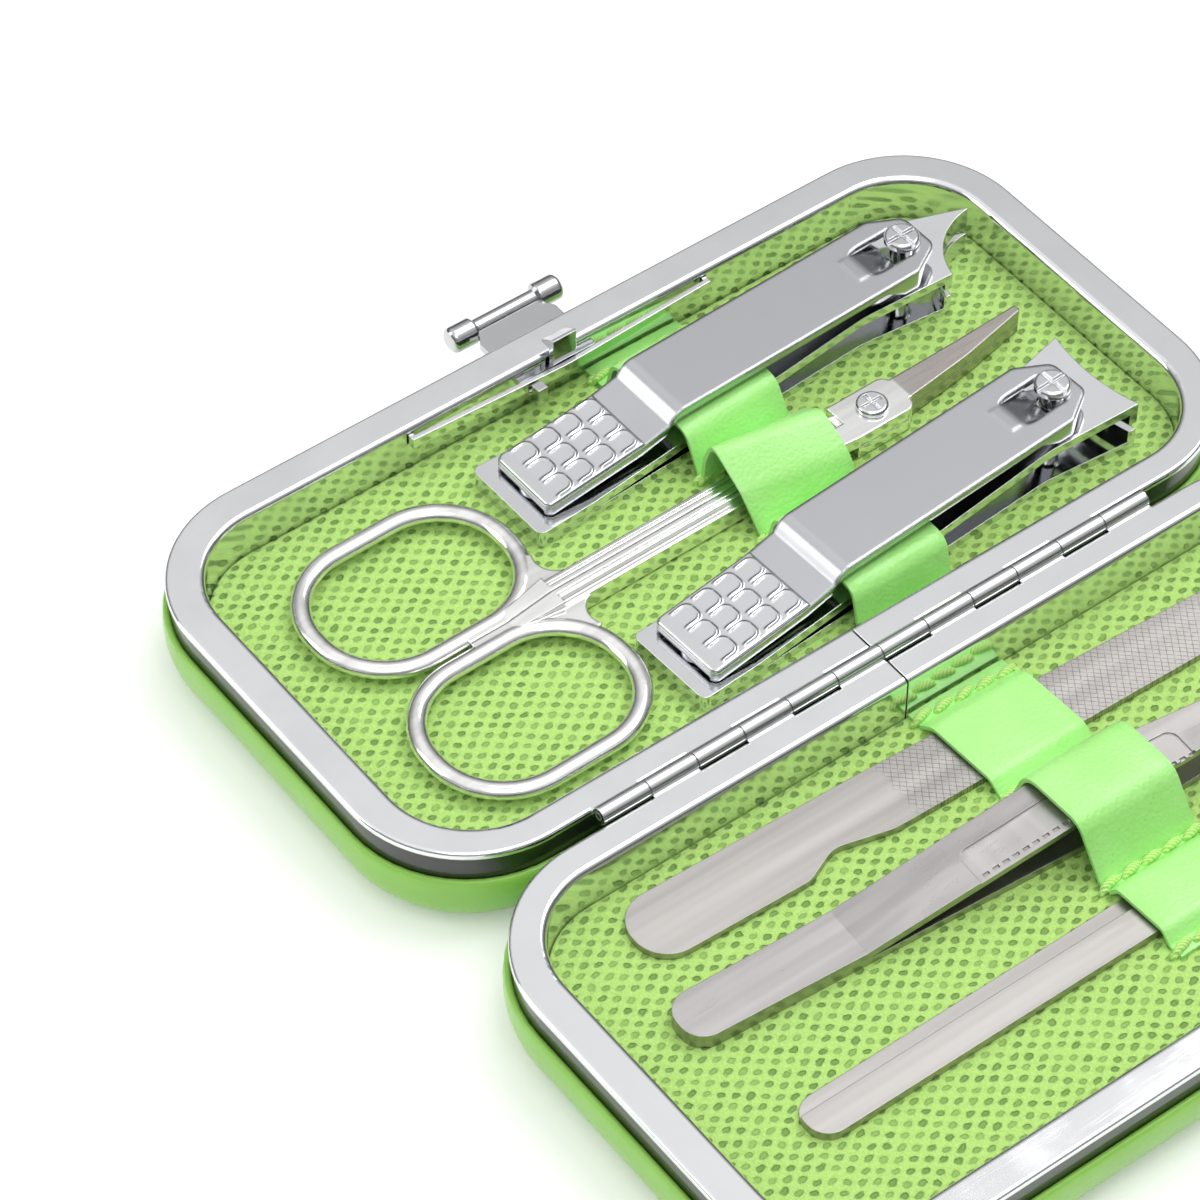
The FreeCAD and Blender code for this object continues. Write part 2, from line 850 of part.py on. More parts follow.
def strap(name, label, arches, far, left, turn):
    thick = S.strap_thickness
    near = INNER_NEAR + S.strap_end_gap
    above, below = [(far, 0), (far, thick)], []
    for foot, shoulder, next_shoulder, next_foot, height, bend in arches:
        above += [
            (foot + thick, thick),
            (shoulder + thick, height + thick, bend + thick),
            (next_shoulder - thick, height + thick, bend + thick),
            (next_foot - thick, thick),
        ]
        below += [
            (foot, 0),
            (shoulder, height, bend),
            (next_shoulder, height, bend),
            (next_foot, 0),
        ]
    corners = above + [(near, thick), (near, 0)] + below[::-1]
    band = prism(name, "end", corners, left, left + S.strap_width)
    finish(band, label, z=FLOOR_Z, turn=turn)


def straps():
    leg, low_leg = S.strap_leg, S.strap_low_leg
    side, bend, low_bend = S.strap_side_gap, S.strap_bend, S.strap_low_bend
    large_arch = arch(
        S.large_rear_y + S.large_drift, S.large_tail / 2 + side, leg, leg, S.arm_arch_height, bend
    )
    small_arch = arch(
        S.small_rear_y + S.small_drift, S.small_tail / 2 + side, leg, leg, S.arm_arch_height, bend
    )
    # the middle arch rises from the sewn flats beside the other two
    far_foot, near_foot = large_arch[3] - S.strap_flat, small_arch[0] + S.strap_flat
    middle_arch = (
        far_foot, far_foot - leg, near_foot + leg, near_foot, S.scissors_arch_height, bend
    )
    strap(
        "base_strap_form",
        "base_strap",
        [large_arch, middle_arch, small_arch],
        INNER_FAR - S.strap_end_gap,
        S.large_rear_x + S.lever_step_place + S.strap_step_gap,
        0,
    )
    tweezers_height = S.tweezers_thickness * 2 + S.tweezers_spread + S.tweezers_arch_gap
    pusher_arch = arch(
        -S.pusher_y,
        S.pusher_width / 2 + side,
        low_leg,
        low_leg,
        S.pusher_thickness + S.flat_arch_gap,
        low_bend,
    )
    tweezers_arch = arch(
        -S.tweezers_y - S.tweezers_drift,
        S.tweezers_width / 2 + side,
        leg + S.tweezers_arch_slack,
        leg,
        tweezers_height,
        bend,
    )
    file_arch = arch(
        -S.file_y - S.file_drift,
        S.file_handle_width / 2 + side / 2,
        low_leg,
        low_leg,
        S.file_thickness + S.flat_arch_gap,
        low_bend,
    )
    lid_far = pusher_arch[0] + S.lid_strap_tail
    strap(
        "lid_strap_form",
        "lid_strap",
        [pusher_arch, tweezers_arch, file_arch],
        lid_far,
        -S.strap_width,
        180,
    )


straps()


# Clippers: two sprung arms riveted at the tail, and a lever held on a pin near the jaws


def clipper(side):
    def own(part):
        return getattr(S, "%s_%s" % (side, part))

    length, tail, waist, lever_width = own("length"), own("tail"), own("waist"), own("lever")
    thick, seat = S.arm_thickness, S.seat_length
    pin_x = length - own("pin_back")
    bite_x, bite_y = length + own("bite_ahead"), own("bite_side")
    horn_x = length - own("horn_back")
    plan = [
        (0, -tail / 2, S.tail_round),
        (horn_x - S.jaw_length, -waist / 2, S.jaw_length),
        (horn_x, -own("horn")),
        (length, own("tip")),
        (length - own("far_back"), waist / 2, own("far_round")),
        (0, tail / 2, S.tail_round),
    ]
    top_of_all = S.lever_top + S.overrun

    def arm(name, profile, lip_low, lip_high, *holes):
        """Sheet arm cut to its plan, with a lip along the hollowed cutting edge."""
        shape = prism(name + "_plan", "top", plan, -S.overrun, top_of_all)
        bent = prism(name + "_bent", "side", profile, -tail, tail)
        lip = rod(
            name + "_lip", own("bite_radius") + S.lip_thickness, lip_low, lip_high, bite_x, bite_y
        )
        blank = common(name + "_blank", fuse(name + "_lipped", bent, lip), shape)
        bite = rod(name + "_bite", own("bite_radius"), -S.overrun, top_of_all, bite_x, bite_y)
        return cut(name, blank, bite, *holes)

    place = dict(
        x=own("rear_x"), y=own("rear_y") + HINGE_Y, z=FLOOR_Z, turn=own("angle")
    )
    lower = arm(
        side + "_lower_arm_form",
        [
            (0, 0),
            (length, 0),
            (length, thick),
            (0, thick),
        ],
        as_size(0),
        S.lower_edge,
        rod(side + "_pin_bore", S.pin_shank, -S.overrun, top_of_all, pin_x),
        rod(side + "_foot_bore", S.pin_foot, -S.overrun, S.pin_foot_height, pin_x),
        rod(side + "_tail_hole", S.rivet_shank + S.rivet_play, -S.overrun, thick * 2, S.rivet_place),
    )
    finish(lower, side + "_lower_arm", **place)
    upper = arm(
        side + "_upper_arm_form",
        [
            (0, thick),
            (seat, thick),
            (length, S.jaw_crest - thick),
            (length, S.jaw_crest),
            (seat, thick * 2),
            (0, thick * 2),
        ],
        S.upper_edge,
        S.jaw_crest - thick + S.lip_lap,
        rod(side + "_pin_hole", S.pin_shank + S.pin_play, -S.overrun, top_of_all, pin_x),
        rod(side + "_tail_bore", S.rivet_shank, -S.overrun, thick * 3, S.rivet_place),
    )
    finish(upper, side + "_upper_arm", **place)

    rivet_top = thick * 2 + S.rivet_cap
    rivet = turned(
        side + "_rivet_form",
        "side",
        [
            (0, 0),
            (S.rivet_shank, 0),
            (S.rivet_shank, thick * 2),
            (S.rivet_head, thick * 2),
            (S.rivet_head, rivet_top, S.rivet_cap / 2),
            (0, rivet_top),
        ],
        Vector(0, 0, 1),
        S.rivet_place,
    )
    finish(rivet, side + "_rivet", **place)

    head_low = S.lever_top + S.head_gap
    head_top = head_low + S.pin_cap
    pin = turned(
        side + "_pin_turned",
        "side",
        [
            (0, 0),
            (S.pin_foot, 0),
            (S.pin_foot, S.pin_foot_height),
            (S.pin_shank, S.pin_foot_height),
            (S.pin_shank, head_low),
            (S.pin_head, head_low),
            (S.pin_head, head_top, S.pin_cap / 2),
            (0, head_top),
        ],
        Vector(0, 0, 1),
        pin_x,
    )
    slots = [
        box(
            "%s_pin_slot_%d" % (side, index),
            (pin_x - along, pin_x + along),
            (-across, across),
            (head_top - S.pin_slot_depth, head_top + S.overrun),
        )
        for index, (along, across) in enumerate(
            ((S.pin_head + S.overrun, S.pin_slot / 2), (S.pin_slot / 2, S.pin_head + S.overrun))
        )
    ]
    finish(cut(side + "_pin_form", pin, *slots), side + "_pin", **place)

    # lever: a channel that steps down from its flat top to a toothed thumb pad over the tail
    nose = pin_x + S.lever_nose
    step_foot = S.lever_step_place - S.lever_ramp
    pad_slope = (S.pad_top - S.pad_rear_top) / (step_foot - S.pad_rear)
    arm_slope = (S.jaw_crest - thick * 2) / (length - seat)
    cheek_run = pin_x - S.cheek_front - seat
    cheek_foot = thick * 2 + arm_slope * cheek_run + S.cheek_seat_gap
    wall_top = S.lever_top - S.lever_wall
    channel_roof = S.lever_top - S.lever_sheet
    crease_x, crease_z = S.lever_step_place - S.riser_run, S.lever_step_top - S.riser_height
    sides = prism(
        side + "_lever_side",
        "side",
        [
            (S.pad_rear, S.pad_rear_top - S.lever_wall),
            (step_foot, S.pad_top - S.lever_wall),
            (crease_x, crease_z - S.lever_wall),
            (S.lever_step_place, S.lever_step_top - S.lever_wall),
            (pin_x - S.cheek_rear, wall_top),
            (pin_x - S.cheek_low, cheek_foot),
            (pin_x - S.cheek_front, cheek_foot),
            (pin_x, channel_roof),
            (nose, channel_roof),
            (nose, S.lever_top),
            (S.lever_step_place, S.lever_step_top, S.riser_round),
            (crease_x, crease_z),
            (step_foot, S.pad_top, S.ramp_round),
            (S.pad_rear, S.pad_rear_top, S.pad_edge_round),
        ],
        -lever_width / 2,
        lever_width / 2,
    )
    channel = prism(
        side + "_lever_channel",
        "side",
        [
            (S.pad_rear - S.overrun, 0),
            (nose + S.overrun, 0),
            (nose + S.overrun, channel_roof),
            (S.lever_step_place + S.lever_sheet / 2, S.lever_step_top - S.lever_sheet),
            (crease_x + S.lever_sheet / 2, crease_z - S.lever_sheet),
            (step_foot, S.pad_top - S.lever_sheet, S.ramp_round),
            (S.pad_rear - S.overrun, S.pad_rear_top - S.lever_sheet - pad_slope * S.overrun),
        ],
        -lever_width / 2 + S.lever_sheet,
        lever_width / 2 - S.lever_sheet,
    )
    lever_plan = prism(
        side + "_lever_plan",
        "top",
        [
            (S.pad_rear, -lever_width / 2, S.tail_round),
            (pin_x - S.cheek_front, -lever_width / 2, S.lever_round),
            (nose, -S.lever_nose_width / 2, S.lever_round),
            (nose, S.lever_nose_width / 2, S.lever_round),
            (pin_x - S.cheek_front, lever_width / 2, S.lever_round),
            (S.pad_rear, lever_width / 2, S.tail_round),
        ],
        0,
        top_of_all,
    )
    drop = prism(
        side + "_lever_drop",
        "top",
        [
            (pin_x, -S.drop_front),
            (pin_x + S.drop_front, -S.drop_front, S.drop_front - S.head_gap),
            (pin_x + S.drop_front, S.drop_front, S.drop_front - S.head_gap),
            (pin_x, S.drop_front),
            (pin_x, S.drop_rear),
            (pin_x - S.drop_length, S.drop_rear, S.drop_rear - S.head_gap),
            (pin_x - S.drop_length, -S.drop_rear, S.drop_rear - S.head_gap),
            (pin_x, -S.drop_rear),
        ],
        0,
        top_of_all,
    )
    pressed = cut(
        side + "_lever_pressed", common(side + "_lever_blank", sides, lever_plan), channel, drop
    )
    tongue_rear = pin_x - S.drop_length - S.lever_sheet
    tongue = prism(
        side + "_lever_tongue",
        "side",
        [
            (tongue_rear, channel_roof),
            (tongue_rear + S.lever_sheet, channel_roof, S.tongue_round - S.lever_sheet),
            (pin_x - S.tongue_front, channel_roof - S.tongue_fall),
            (pin_x - S.tongue_front, channel_roof - S.tongue_fall + S.lever_sheet),
            (tongue_rear + S.lever_sheet * 2, S.lever_top - S.lip_lap, S.tongue_round),
            (tongue_rear, S.lever_top - S.lip_lap),
        ],
        -S.tongue_width / 2,
        S.tongue_width / 2,
    )
    teeth = []
    for line in range(TOOTH_ROWS):
        for column in range(TOOTH_COLUMNS):
            tooth = doc.addObject("Part::Wedge", "%s_tooth_%d_%d" % (side, line, column))
            bounds = {
                "Xmin": as_size(0),
                "Xmax": S.tooth_size,
                "Zmin": as_size(0),
                "Zmax": S.tooth_size,
                "Ymin": as_size(0),
                "Ymax": S.tooth_height,
                "X2min": S.tooth_bevel,
                "X2max": S.tooth_size - S.tooth_bevel,
                "Z2min": S.tooth_bevel,
                "Z2max": S.tooth_size - S.tooth_bevel,
            }
            for prop, size in bounds.items():
                bind(tooth, prop, size)
            across = S.tooth_pitch_wide * (column - (TOOTH_COLUMNS - 1) / 2) + S.tooth_size / 2
            run = S.tooth_margin + S.tooth_pitch_long * line
            level = S.pad_rear_top + pad_slope * run - S.tooth_sink
            teeth.append(put(tooth, S.pad_rear + run, across, level, 90, Vector(1, 0, 0)))
    finish(fuse(side + "_lever_form", pressed, tongue, *teeth), side + "_lever", **place)


clipper("large")
clipper("small")


# Scissors: two crossed halves on a screw, each a curved blade, a ribbed shank and an oval finger ring


def scissors():
    low = S.scissors_lift
    middle = low + S.blade_layer
    upper = middle + S.blade_gap
    top = upper + S.blade_layer
    place = dict(
        x=S.scissors_x, y=S.scissors_y + HINGE_Y, z=FLOOR_Z, turn=S.scissors_angle
    )

    def half(name, side, blade_low, blade_high, bore):
        """side is +1 for the half whose ring lies away from the hinge, -1 for the other."""
        inner, outer = S.shank_gap * side, S.shank_width * side
        # the ring's corner nearest the pivot, and the points where the web runs into its wire
        corner_x = -S.ring_place + S.ring_half_length - S.ring_corner
        corner_y = S.ring_offset - S.ring_half_width + S.ring_corner
        wire_points = [
            (corner_x + S.ring_corner * across, (corner_y - S.ring_corner * down) * side)
            for across, down in WEB_SHARES
        ]
        reach = S.ring_corner + S.ring_wire
        web_end = (corner_x + reach * WEB_SHARES[-1][0], (corner_y - reach * WEB_SHARES[-1][1]) * side)
        fall = corner_y - reach * WEB_SHARES[-1][1] - S.shank_width
        web_root = web_end[0] - fall * (WEB_SHARES[-1][1] / WEB_SHARES[-1][0])
        web = [
            (-S.ring_place, inner),
            (-S.ring_place, wire_points[0][1]),
            *wire_points,
            web_end,
            (web_root, outer, S.web_round),
            (web_root + S.web_round * 4, outer),
            (web_root + S.web_round * 4, inner),
        ]
        shank = [
            (-S.ring_place, inner),
            (-S.ring_place, S.shank_tail * side),
            (web_root, outer),
            (-S.shank_start, outer),
            (-S.shank_start, inner),
        ]
        boss = S.boss_width / 2
        root, middle = S.blade_root / 2, S.blade_middle_width / 2
        plate = [
            (-S.shank_start - S.boss_length, inner),
            (-S.shank_start - S.boss_length, outer),
            (-S.boss_length, boss * side, S.boss_round),
            (S.boss_length, boss * side, S.boss_round),
            (S.boss_length, -boss * side, S.boss_round),
            (-S.boss_length, -boss * side),
            (-S.boss_length, inner),
        ]
        blade = [
            (0, -root),
            (S.blade_middle, S.blade_middle_sweep - middle, S.blade_curve),
            (S.blade_length, S.blade_sweep - S.blade_tip_width / 2, S.blade_tip_round),
            (S.blade_length, S.blade_sweep + S.blade_tip_width / 2, S.blade_tip_round),
            (S.blade_middle, S.blade_middle_sweep + middle, S.blade_curve),
            (0, root),
        ]
        # the shank sinks to the height of the rings behind the fork
        fall_line = [
            (-S.ring_place, low),
            (-S.shank_start, low),
            (-S.shank_start, top),
            (web_root, top),
            (-S.ring_place, low + S.ring_level),
        ]
        handle = common(
            name + "_handle",
            prism(name + "_bar", "top", shank, low, top),
            prism(name + "_fall", "side", fall_line, -S.shank_width, S.shank_width),
        )
        side_lines = sorted(
            ((S.shank_width - S.shank_step) * side, (S.shank_width + S.overrun) * side), key=number
        )
        ledge = box(
            name + "_ledge",
            (web_root, -S.shank_start + S.overrun),
            side_lines,
            (top - S.shank_step, top + S.overrun),
        )
        groove_lines = sorted(
            (S.shank_groove_place * side, (S.shank_groove_place + S.shank_groove) * side), key=number
        )
        groove = box(
            name + "_groove",
            (web_root, -S.shank_start + S.overrun),
            groove_lines,
            (top - S.shank_groove_depth, top + S.overrun),
        )
        stepped = cut(name + "_stepped", handle, ledge, groove)
        parts = [
            stepped,
            prism(name + "_web", "top", web, low + S.web_low, low + S.web_high),
            prism(name + "_plate", "top", plate, blade_low, blade_high),
            prism(name + "_blade", "top", blade, blade_low, blade_high),
        ]
        path = outline(
            name + "_ring_path",
            "top",
            rounded_rectangle(
                S.ring_half_length, -S.ring_half_width, S.ring_half_width, S.ring_corner
            ),
        )
        put(path, -S.ring_place, S.ring_offset * side, S.ring_level + low)
        section = doc.addObject("Part::Ellipse", name + "_ring_wire")
        bind(section, "MajorRadius", S.ring_wire)
        bind(section, "MinorRadius", S.ring_rise)
        put(
            section,
            -S.ring_place,
            (S.ring_offset - S.ring_half_width) * side,
            S.ring_level + low,
            120,
            Vector(1, 1, 1),
        )
        ring = doc.addObject("Part::Sweep", name + "_ring")
        ring.Sections = [section]
        doc.recompute()
        edges = ["Edge%d" % (index + 1) for index in range(len(path.Shape.Edges))]
        ring.Spine = (path, edges)
        ring.Solid = True
        ring.Frenet = False
        whole = fuse(name + "_whole", *parts, ring)
        hole = rod(name + "_bore", bore, -S.overrun, top + S.overrun)
        return cut(name, whole, hole)

    finish(
        half("scissors_a_form", 1, low, middle, S.screw_shank), "scissors_blade_a", **place
    )
    finish(
        half("scissors_b_form", -1, upper, top, S.screw_shank + S.screw_play),
        "scissors_blade_b",
        **place,
    )
    head_top = top + S.screw_play + S.screw_cap
    screw = turned(
        "screw_turned",
        "side",
        [
            (0, low),
            (S.screw_shank, low),
            (S.screw_shank, top + S.screw_play),
            (S.screw_head, top + S.screw_play),
            (S.screw_head, head_top, S.screw_cap / 2),
            (0, head_top),
        ],
        Vector(0, 0, 1),
    )
    depth = (head_top - S.screw_cap / 2, head_top + S.overrun)
    arm, thin = S.screw_head - S.screw_slot, S.screw_slot / 2
    slots = [
        box("screw_slot_a", (-arm, arm), (-thin, thin), depth),
        box("screw_slot_b", (-thin, thin), (-arm, arm), depth),
    ]
    finish(cut("scissors_screw_form", screw, *slots), "scissors_screw", **place)


scissors()


# Tools of the front half


def nail_file():
    handle, blade = S.file_handle_width / 2, S.file_blade_width / 2
    form = prism(
        "nail_file_form",
        "top",
        [
            (0, -handle, S.file_end_round),
            (S.file_notch_start, -handle, S.file_notch_round),
            (
                S.file_notch_start + S.file_notch_ramp,
                -handle + S.file_notch_depth,
                S.file_notch_round,
            ),
            (S.file_shoulder, -handle + S.file_neck, S.file_neck_round),
            (S.file_length - S.file_point, -blade, S.file_point / 2),
            (S.file_length, 0, S.file_point_round),
            (S.file_length - S.file_point, blade, S.file_point / 2),
            (S.file_shoulder, handle),
            (0, handle, S.file_end_round),
        ],
        0,
        S.file_thickness,
    )
    finish(form, "nail_file", S.file_x, S.file_y + HINGE_Y, FLOOR_Z, S.file_angle)


def tweezers():
    length, thick = S.tweezers_length, S.tweezers_thickness
    rear, wide, tip = S.tweezers_rear_width / 2, S.tweezers_width / 2, S.tweezers_tip_width / 2
    plan = [
        (0, -rear, S.tweezers_end_round),
        (S.tweezers_belly, -wide, S.tweezers_bend),
        (length - S.tweezers_tip_slant, -tip),
        (length, tip),
        (S.tweezers_belly, wide, S.tweezers_bend),
        (0, rear, S.tweezers_end_round),
    ]
    crest = thick + S.tweezers_spread
    tip_top = S.tweezers_tip_rise + thick
    neck = length - S.tweezers_tip_length
    profiles = {
        "tweezers_lower_leg": [
            (0, 0),
            (neck, 0),
            (length, S.tweezers_tip_rise),
            (length, tip_top),
            (neck, thick),
            (0, thick),
        ],
        "tweezers_upper_leg": [
            (0, thick),
            (S.tweezers_joint, thick),
            (S.tweezers_belly, crest, S.tweezers_bend),
            (length, tip_top + S.tweezers_tip_gap),
            (length, tip_top + S.tweezers_tip_gap + thick),
            (S.tweezers_belly, crest + thick, S.tweezers_bend + thick),
            (S.tweezers_joint, thick * 2),
            (0, thick * 2),
        ],
    }
    top = crest + thick + S.overrun
    legs = {}
    for label, profile in profiles.items():
        bent = prism(label + "_bent", "side", profile, -wide, wide)
        shape = prism(label + "_plan", "top", plan, -S.overrun, top)
        legs[label] = common(label + "_whole", bent, shape)

    def above(name, depth, low, high):
        """Everything over the upper leg's top, from a depth below it, between two lines along it."""
        return prism(
            name,
            "side",
            [
                (S.tweezers_joint, thick * 2 - depth),
                (S.tweezers_belly, crest + thick - depth, S.tweezers_bend + thick - depth),
                (length, tip_top + S.tweezers_tip_gap + thick - depth),
                (length, top),
                (S.tweezers_joint, top),
            ],
            low,
            high,
        )

    # the grip is pressed a little below the far edge, which stands as a rib
    start, end = length * S.grip_start_share, length * S.grip_end_share
    grip_plan = prism(
        "grip_plan",
        "top",
        [
            (start, -wide - S.overrun),
            (end, -wide - S.overrun),
            (end, S.grip_edge, S.grip_round),
            (start, S.grip_edge, S.grip_round),
        ],
        0,
        top,
    )
    grip = common("grip", above("grip_above", S.grip_depth, -wide - S.overrun, wide), grip_plan)
    step = (end - start) / GRIP_NOTCHES
    notch_boxes = [
        box(
            "grip_notch_%d" % index,
            (start + step * index + S.notch_length, start + step * index + S.notch_length * 2),
            (-S.notch_place - S.notch_width / 2, -S.notch_place + S.notch_width / 2),
            (0, top),
        )
        for index in range(GRIP_NOTCHES)
    ]
    notches = common(
        "grip_notches",
        above("notch_above", S.grip_depth + S.notch_depth, -wide, wide),
        fuse("grip_notch_boxes", *notch_boxes),
    )
    legs["tweezers_upper_leg"] = cut(
        "tweezers_upper_leg_form", legs["tweezers_upper_leg"], grip, notches
    )
    for label, leg in legs.items():
        finish(leg, label, S.tweezers_x, S.tweezers_y + HINGE_Y, FLOOR_Z, S.tweezers_angle)


def cuticle_pusher():
    half = S.pusher_width / 2
    spade = S.pusher_spade_width / 2
    bar = prism(
        "pusher_bar",
        "top",
        [
            (0, -half, S.pusher_end_round),
            (S.pusher_length - S.pusher_spade, -half, S.pusher_spade / 2),
            (S.pusher_length - S.pusher_spade / 2, -spade, S.pusher_spade / 4),
            (S.pusher_length, -half, S.pusher_tip_round),
            (S.pusher_length, half, S.pusher_tip_round),
            (S.pusher_length - S.pusher_spade / 2, spade, S.pusher_spade / 4),
            (S.pusher_length - S.pusher_spade, half, S.pusher_spade / 2),
            (0, half, S.pusher_end_round),
        ],
        0,
        S.pusher_thickness,
    )
    ledge = box(
        "pusher_ledge_cut",
        (-S.overrun, S.pusher_length - S.pusher_spade),
        (half - S.pusher_ledge, half + S.overrun),
        (S.pusher_ledge_thickness, S.pusher_thickness + S.overrun),
    )
    form = cut("cuticle_pusher_form", bar, ledge)
    finish(form, "cuticle_pusher", S.pusher_x, S.pusher_y + HINGE_Y, FLOOR_Z)


nail_file()
tweezers()
cuticle_pusher()

doc.recompute()

# Checks and files

faults = [
    item.Name for item in doc.Objects if "Invalid" in item.State or "Error" in item.State
]
faults += [item.Label for item in pieces if item.Shape.isNull() or not item.Shape.isValid()]
if faults:
    raise RuntimeError("pieces that failed: " + ", ".join(faults))

os.makedirs("parts", exist_ok=True)
for item in pieces:
    item.Shape.exportStep("parts/%s.step" % item.Label)
    bounds = item.Shape.BoundBox
    print(
        "%-22s solids %d volume %9.2f x %7.2f %7.2f y %7.2f %7.2f z %6.2f %6.2f"
        % (
            item.Label,
            len(item.Shape.Solids),
            item.Shape.Volume,
            bounds.XMin,
            bounds.XMax,
            bounds.YMin,
            bounds.YMax,
            bounds.ZMin,
            bounds.ZMax,
        )
    )
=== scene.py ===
import math

import bmesh
import bpy
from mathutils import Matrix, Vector, noise

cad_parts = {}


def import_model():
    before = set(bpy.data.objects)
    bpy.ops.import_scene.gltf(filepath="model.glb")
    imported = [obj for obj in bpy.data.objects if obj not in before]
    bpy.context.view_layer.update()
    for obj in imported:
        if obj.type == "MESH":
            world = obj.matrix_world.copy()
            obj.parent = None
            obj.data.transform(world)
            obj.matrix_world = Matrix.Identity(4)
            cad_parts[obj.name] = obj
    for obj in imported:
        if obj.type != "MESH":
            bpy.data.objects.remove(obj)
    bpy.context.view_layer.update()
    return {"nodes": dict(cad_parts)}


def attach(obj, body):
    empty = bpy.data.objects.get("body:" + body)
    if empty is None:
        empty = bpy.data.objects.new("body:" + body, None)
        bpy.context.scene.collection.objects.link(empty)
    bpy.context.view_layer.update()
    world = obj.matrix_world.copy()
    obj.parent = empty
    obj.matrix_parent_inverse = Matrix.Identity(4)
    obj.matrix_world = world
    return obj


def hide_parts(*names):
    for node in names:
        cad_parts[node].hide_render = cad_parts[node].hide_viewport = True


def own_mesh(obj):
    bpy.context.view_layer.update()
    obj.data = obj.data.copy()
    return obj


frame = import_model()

MM = 0.001

# Case sizes in millimetres, the same as the solids

HINGE_Y = -3.55
FLANGE_Z = 12.4
CASE_HALF = 57.0
NEAR, FAR = 1.2, 61.2
CORNER = 14.9
TRAY_HALF = 52.6
TRAY_NEAR, TRAY_FAR = 4.84, 56.8
TRAY_CORNER = 10.4
LINING_LEVEL = -5.8

# Node helpers


class Wiring:
    """Adds and joins the nodes of one material, group or world."""

    def __init__(self, tree):
        self.tree = tree

    def add(self, kind, **settings):
        node = self.tree.nodes.new(kind)
        for key, value in settings.items():
            setattr(node, key, value)
        return node

    def feed(self, target, source):
        """A socket is linked; a plain value is set on the socket itself."""
        if isinstance(source, bpy.types.NodeSocket):
            self.tree.links.new(source, target)
        else:
            target.default_value = source

    def sum(self, operation, *values):
        node = self.add("ShaderNodeMath", operation=operation)
        for socket, value in zip(node.inputs, values):
            self.feed(socket, value)
        return node.outputs[0]

    def vector(self, operation, first, second):
        node = self.add("ShaderNodeVectorMath", operation=operation)
        self.feed(node.inputs[0], first)
        self.feed(node.inputs[1], second)
        return node.outputs[0]

    def spread(self, value, low, high, to_low=0.0, to_high=1.0):
        """Carry a value from one range to another, smoothly and held at the ends."""
        node = self.add("ShaderNodeMapRange", interpolation_type="SMOOTHSTEP")
        for socket, amount in zip(node.inputs, (value, low, high, to_low, to_high)):
            self.feed(socket, amount)
        return node.outputs[0]

    def mix(self, share, first, second):
        """Two colours mixed; a Mix node's colour sockets come after those for numbers and vectors."""
        node = self.add("ShaderNodeMix", data_type="RGBA")
        self.feed(node.inputs[0], share)
        self.feed(node.inputs[6], first)
        self.feed(node.inputs[7], second)
        return node.outputs[2]

    def clouds(self, where, scale, detail=2.0, rough=0.5):
        node = self.add("ShaderNodeTexNoise")
        self.feed(node.inputs["Vector"], where)
        self.feed(node.inputs["Scale"], scale)
        self.feed(node.inputs["Detail"], detail)
        self.feed(node.inputs["Roughness"], rough)
        return node.outputs["Fac"]

    def place(self):
        """Position on the part, in millimetres."""
        where = self.add("ShaderNodeTexCoord").outputs["Object"]
        return self.vector("MULTIPLY", where, (1 / MM, 1 / MM, 1 / MM))

    def bump(self, height, depth, strength=1.0, normal=None):
        """Turn a height of 0 to 1 into a normal; depth is in millimetres."""
        node = self.add("ShaderNodeBump")
        self.feed(node.inputs["Strength"], strength)
        self.feed(node.inputs["Distance"], depth * MM)
        self.feed(node.inputs["Height"], height)
        if normal is not None:
            self.feed(node.inputs["Normal"], normal)
        return node.outputs["Normal"]


def effect(name, inputs, outputs):
    """An empty shader node group with named sockets."""
    tree = bpy.data.node_groups.new(name, "ShaderNodeTree")
    for label, kind, value in inputs:
        socket = tree.interface.new_socket(label, in_out="INPUT", socket_type=kind)
        socket.default_value = value
    for label, kind in outputs:
        tree.interface.new_socket(label, in_out="OUTPUT", socket_type=kind)
    wiring = Wiring(tree)
    return wiring, wiring.add("NodeGroupInput").outputs, wiring.add("NodeGroupOutput").inputs


def handling_marks():
    """Soft smears and fine hairlines left on metal and lacquer by fingers."""
    w, given, out = effect(
        "handling_marks",
        [("Smear Size", "NodeSocketFloat", 0.08), ("Hairline Size", "NodeSocketFloat", 2.0)],
        [("Smears", "NodeSocketFloat"), ("Hairlines", "NodeSocketFloat")],
    )
    where = w.place()
    smears = w.clouds(where, given["Smear Size"], 3.0, 0.6)
    w.feed(out["Smears"], w.spread(smears, 0.35, 0.7))
    tilted = w.vector("MULTIPLY", where, (0.06, 1.0, 1.0))
    fine = w.clouds(tilted, given["Hairline Size"], 2.0, 0.7)
    w.feed(out["Hairlines"], w.spread(fine, 0.5, 0.75))
    return w.tree


def brushed_lines():
    """Long fine lines of a belt-ground face, running along the tool."""
    w, given, out = effect(
        "brushed_lines",
        [("Stretch", "NodeSocketVector", (0.03, 1.0, 1.0)), ("Size", "NodeSocketFloat", 3.0)],
        [("Lines", "NodeSocketFloat"), ("Shade", "NodeSocketFloat")],
    )
    where = w.vector("MULTIPLY", w.place(), given["Stretch"])
    w.feed(out["Lines"], w.clouds(where, given["Size"], 3.0, 0.7))
    broad = w.clouds(where, w.sum("MULTIPLY", given["Size"], 0.2), 1.0)
    w.feed(out["Shade"], w.spread(broad, 0.3, 0.7))
    return w.tree


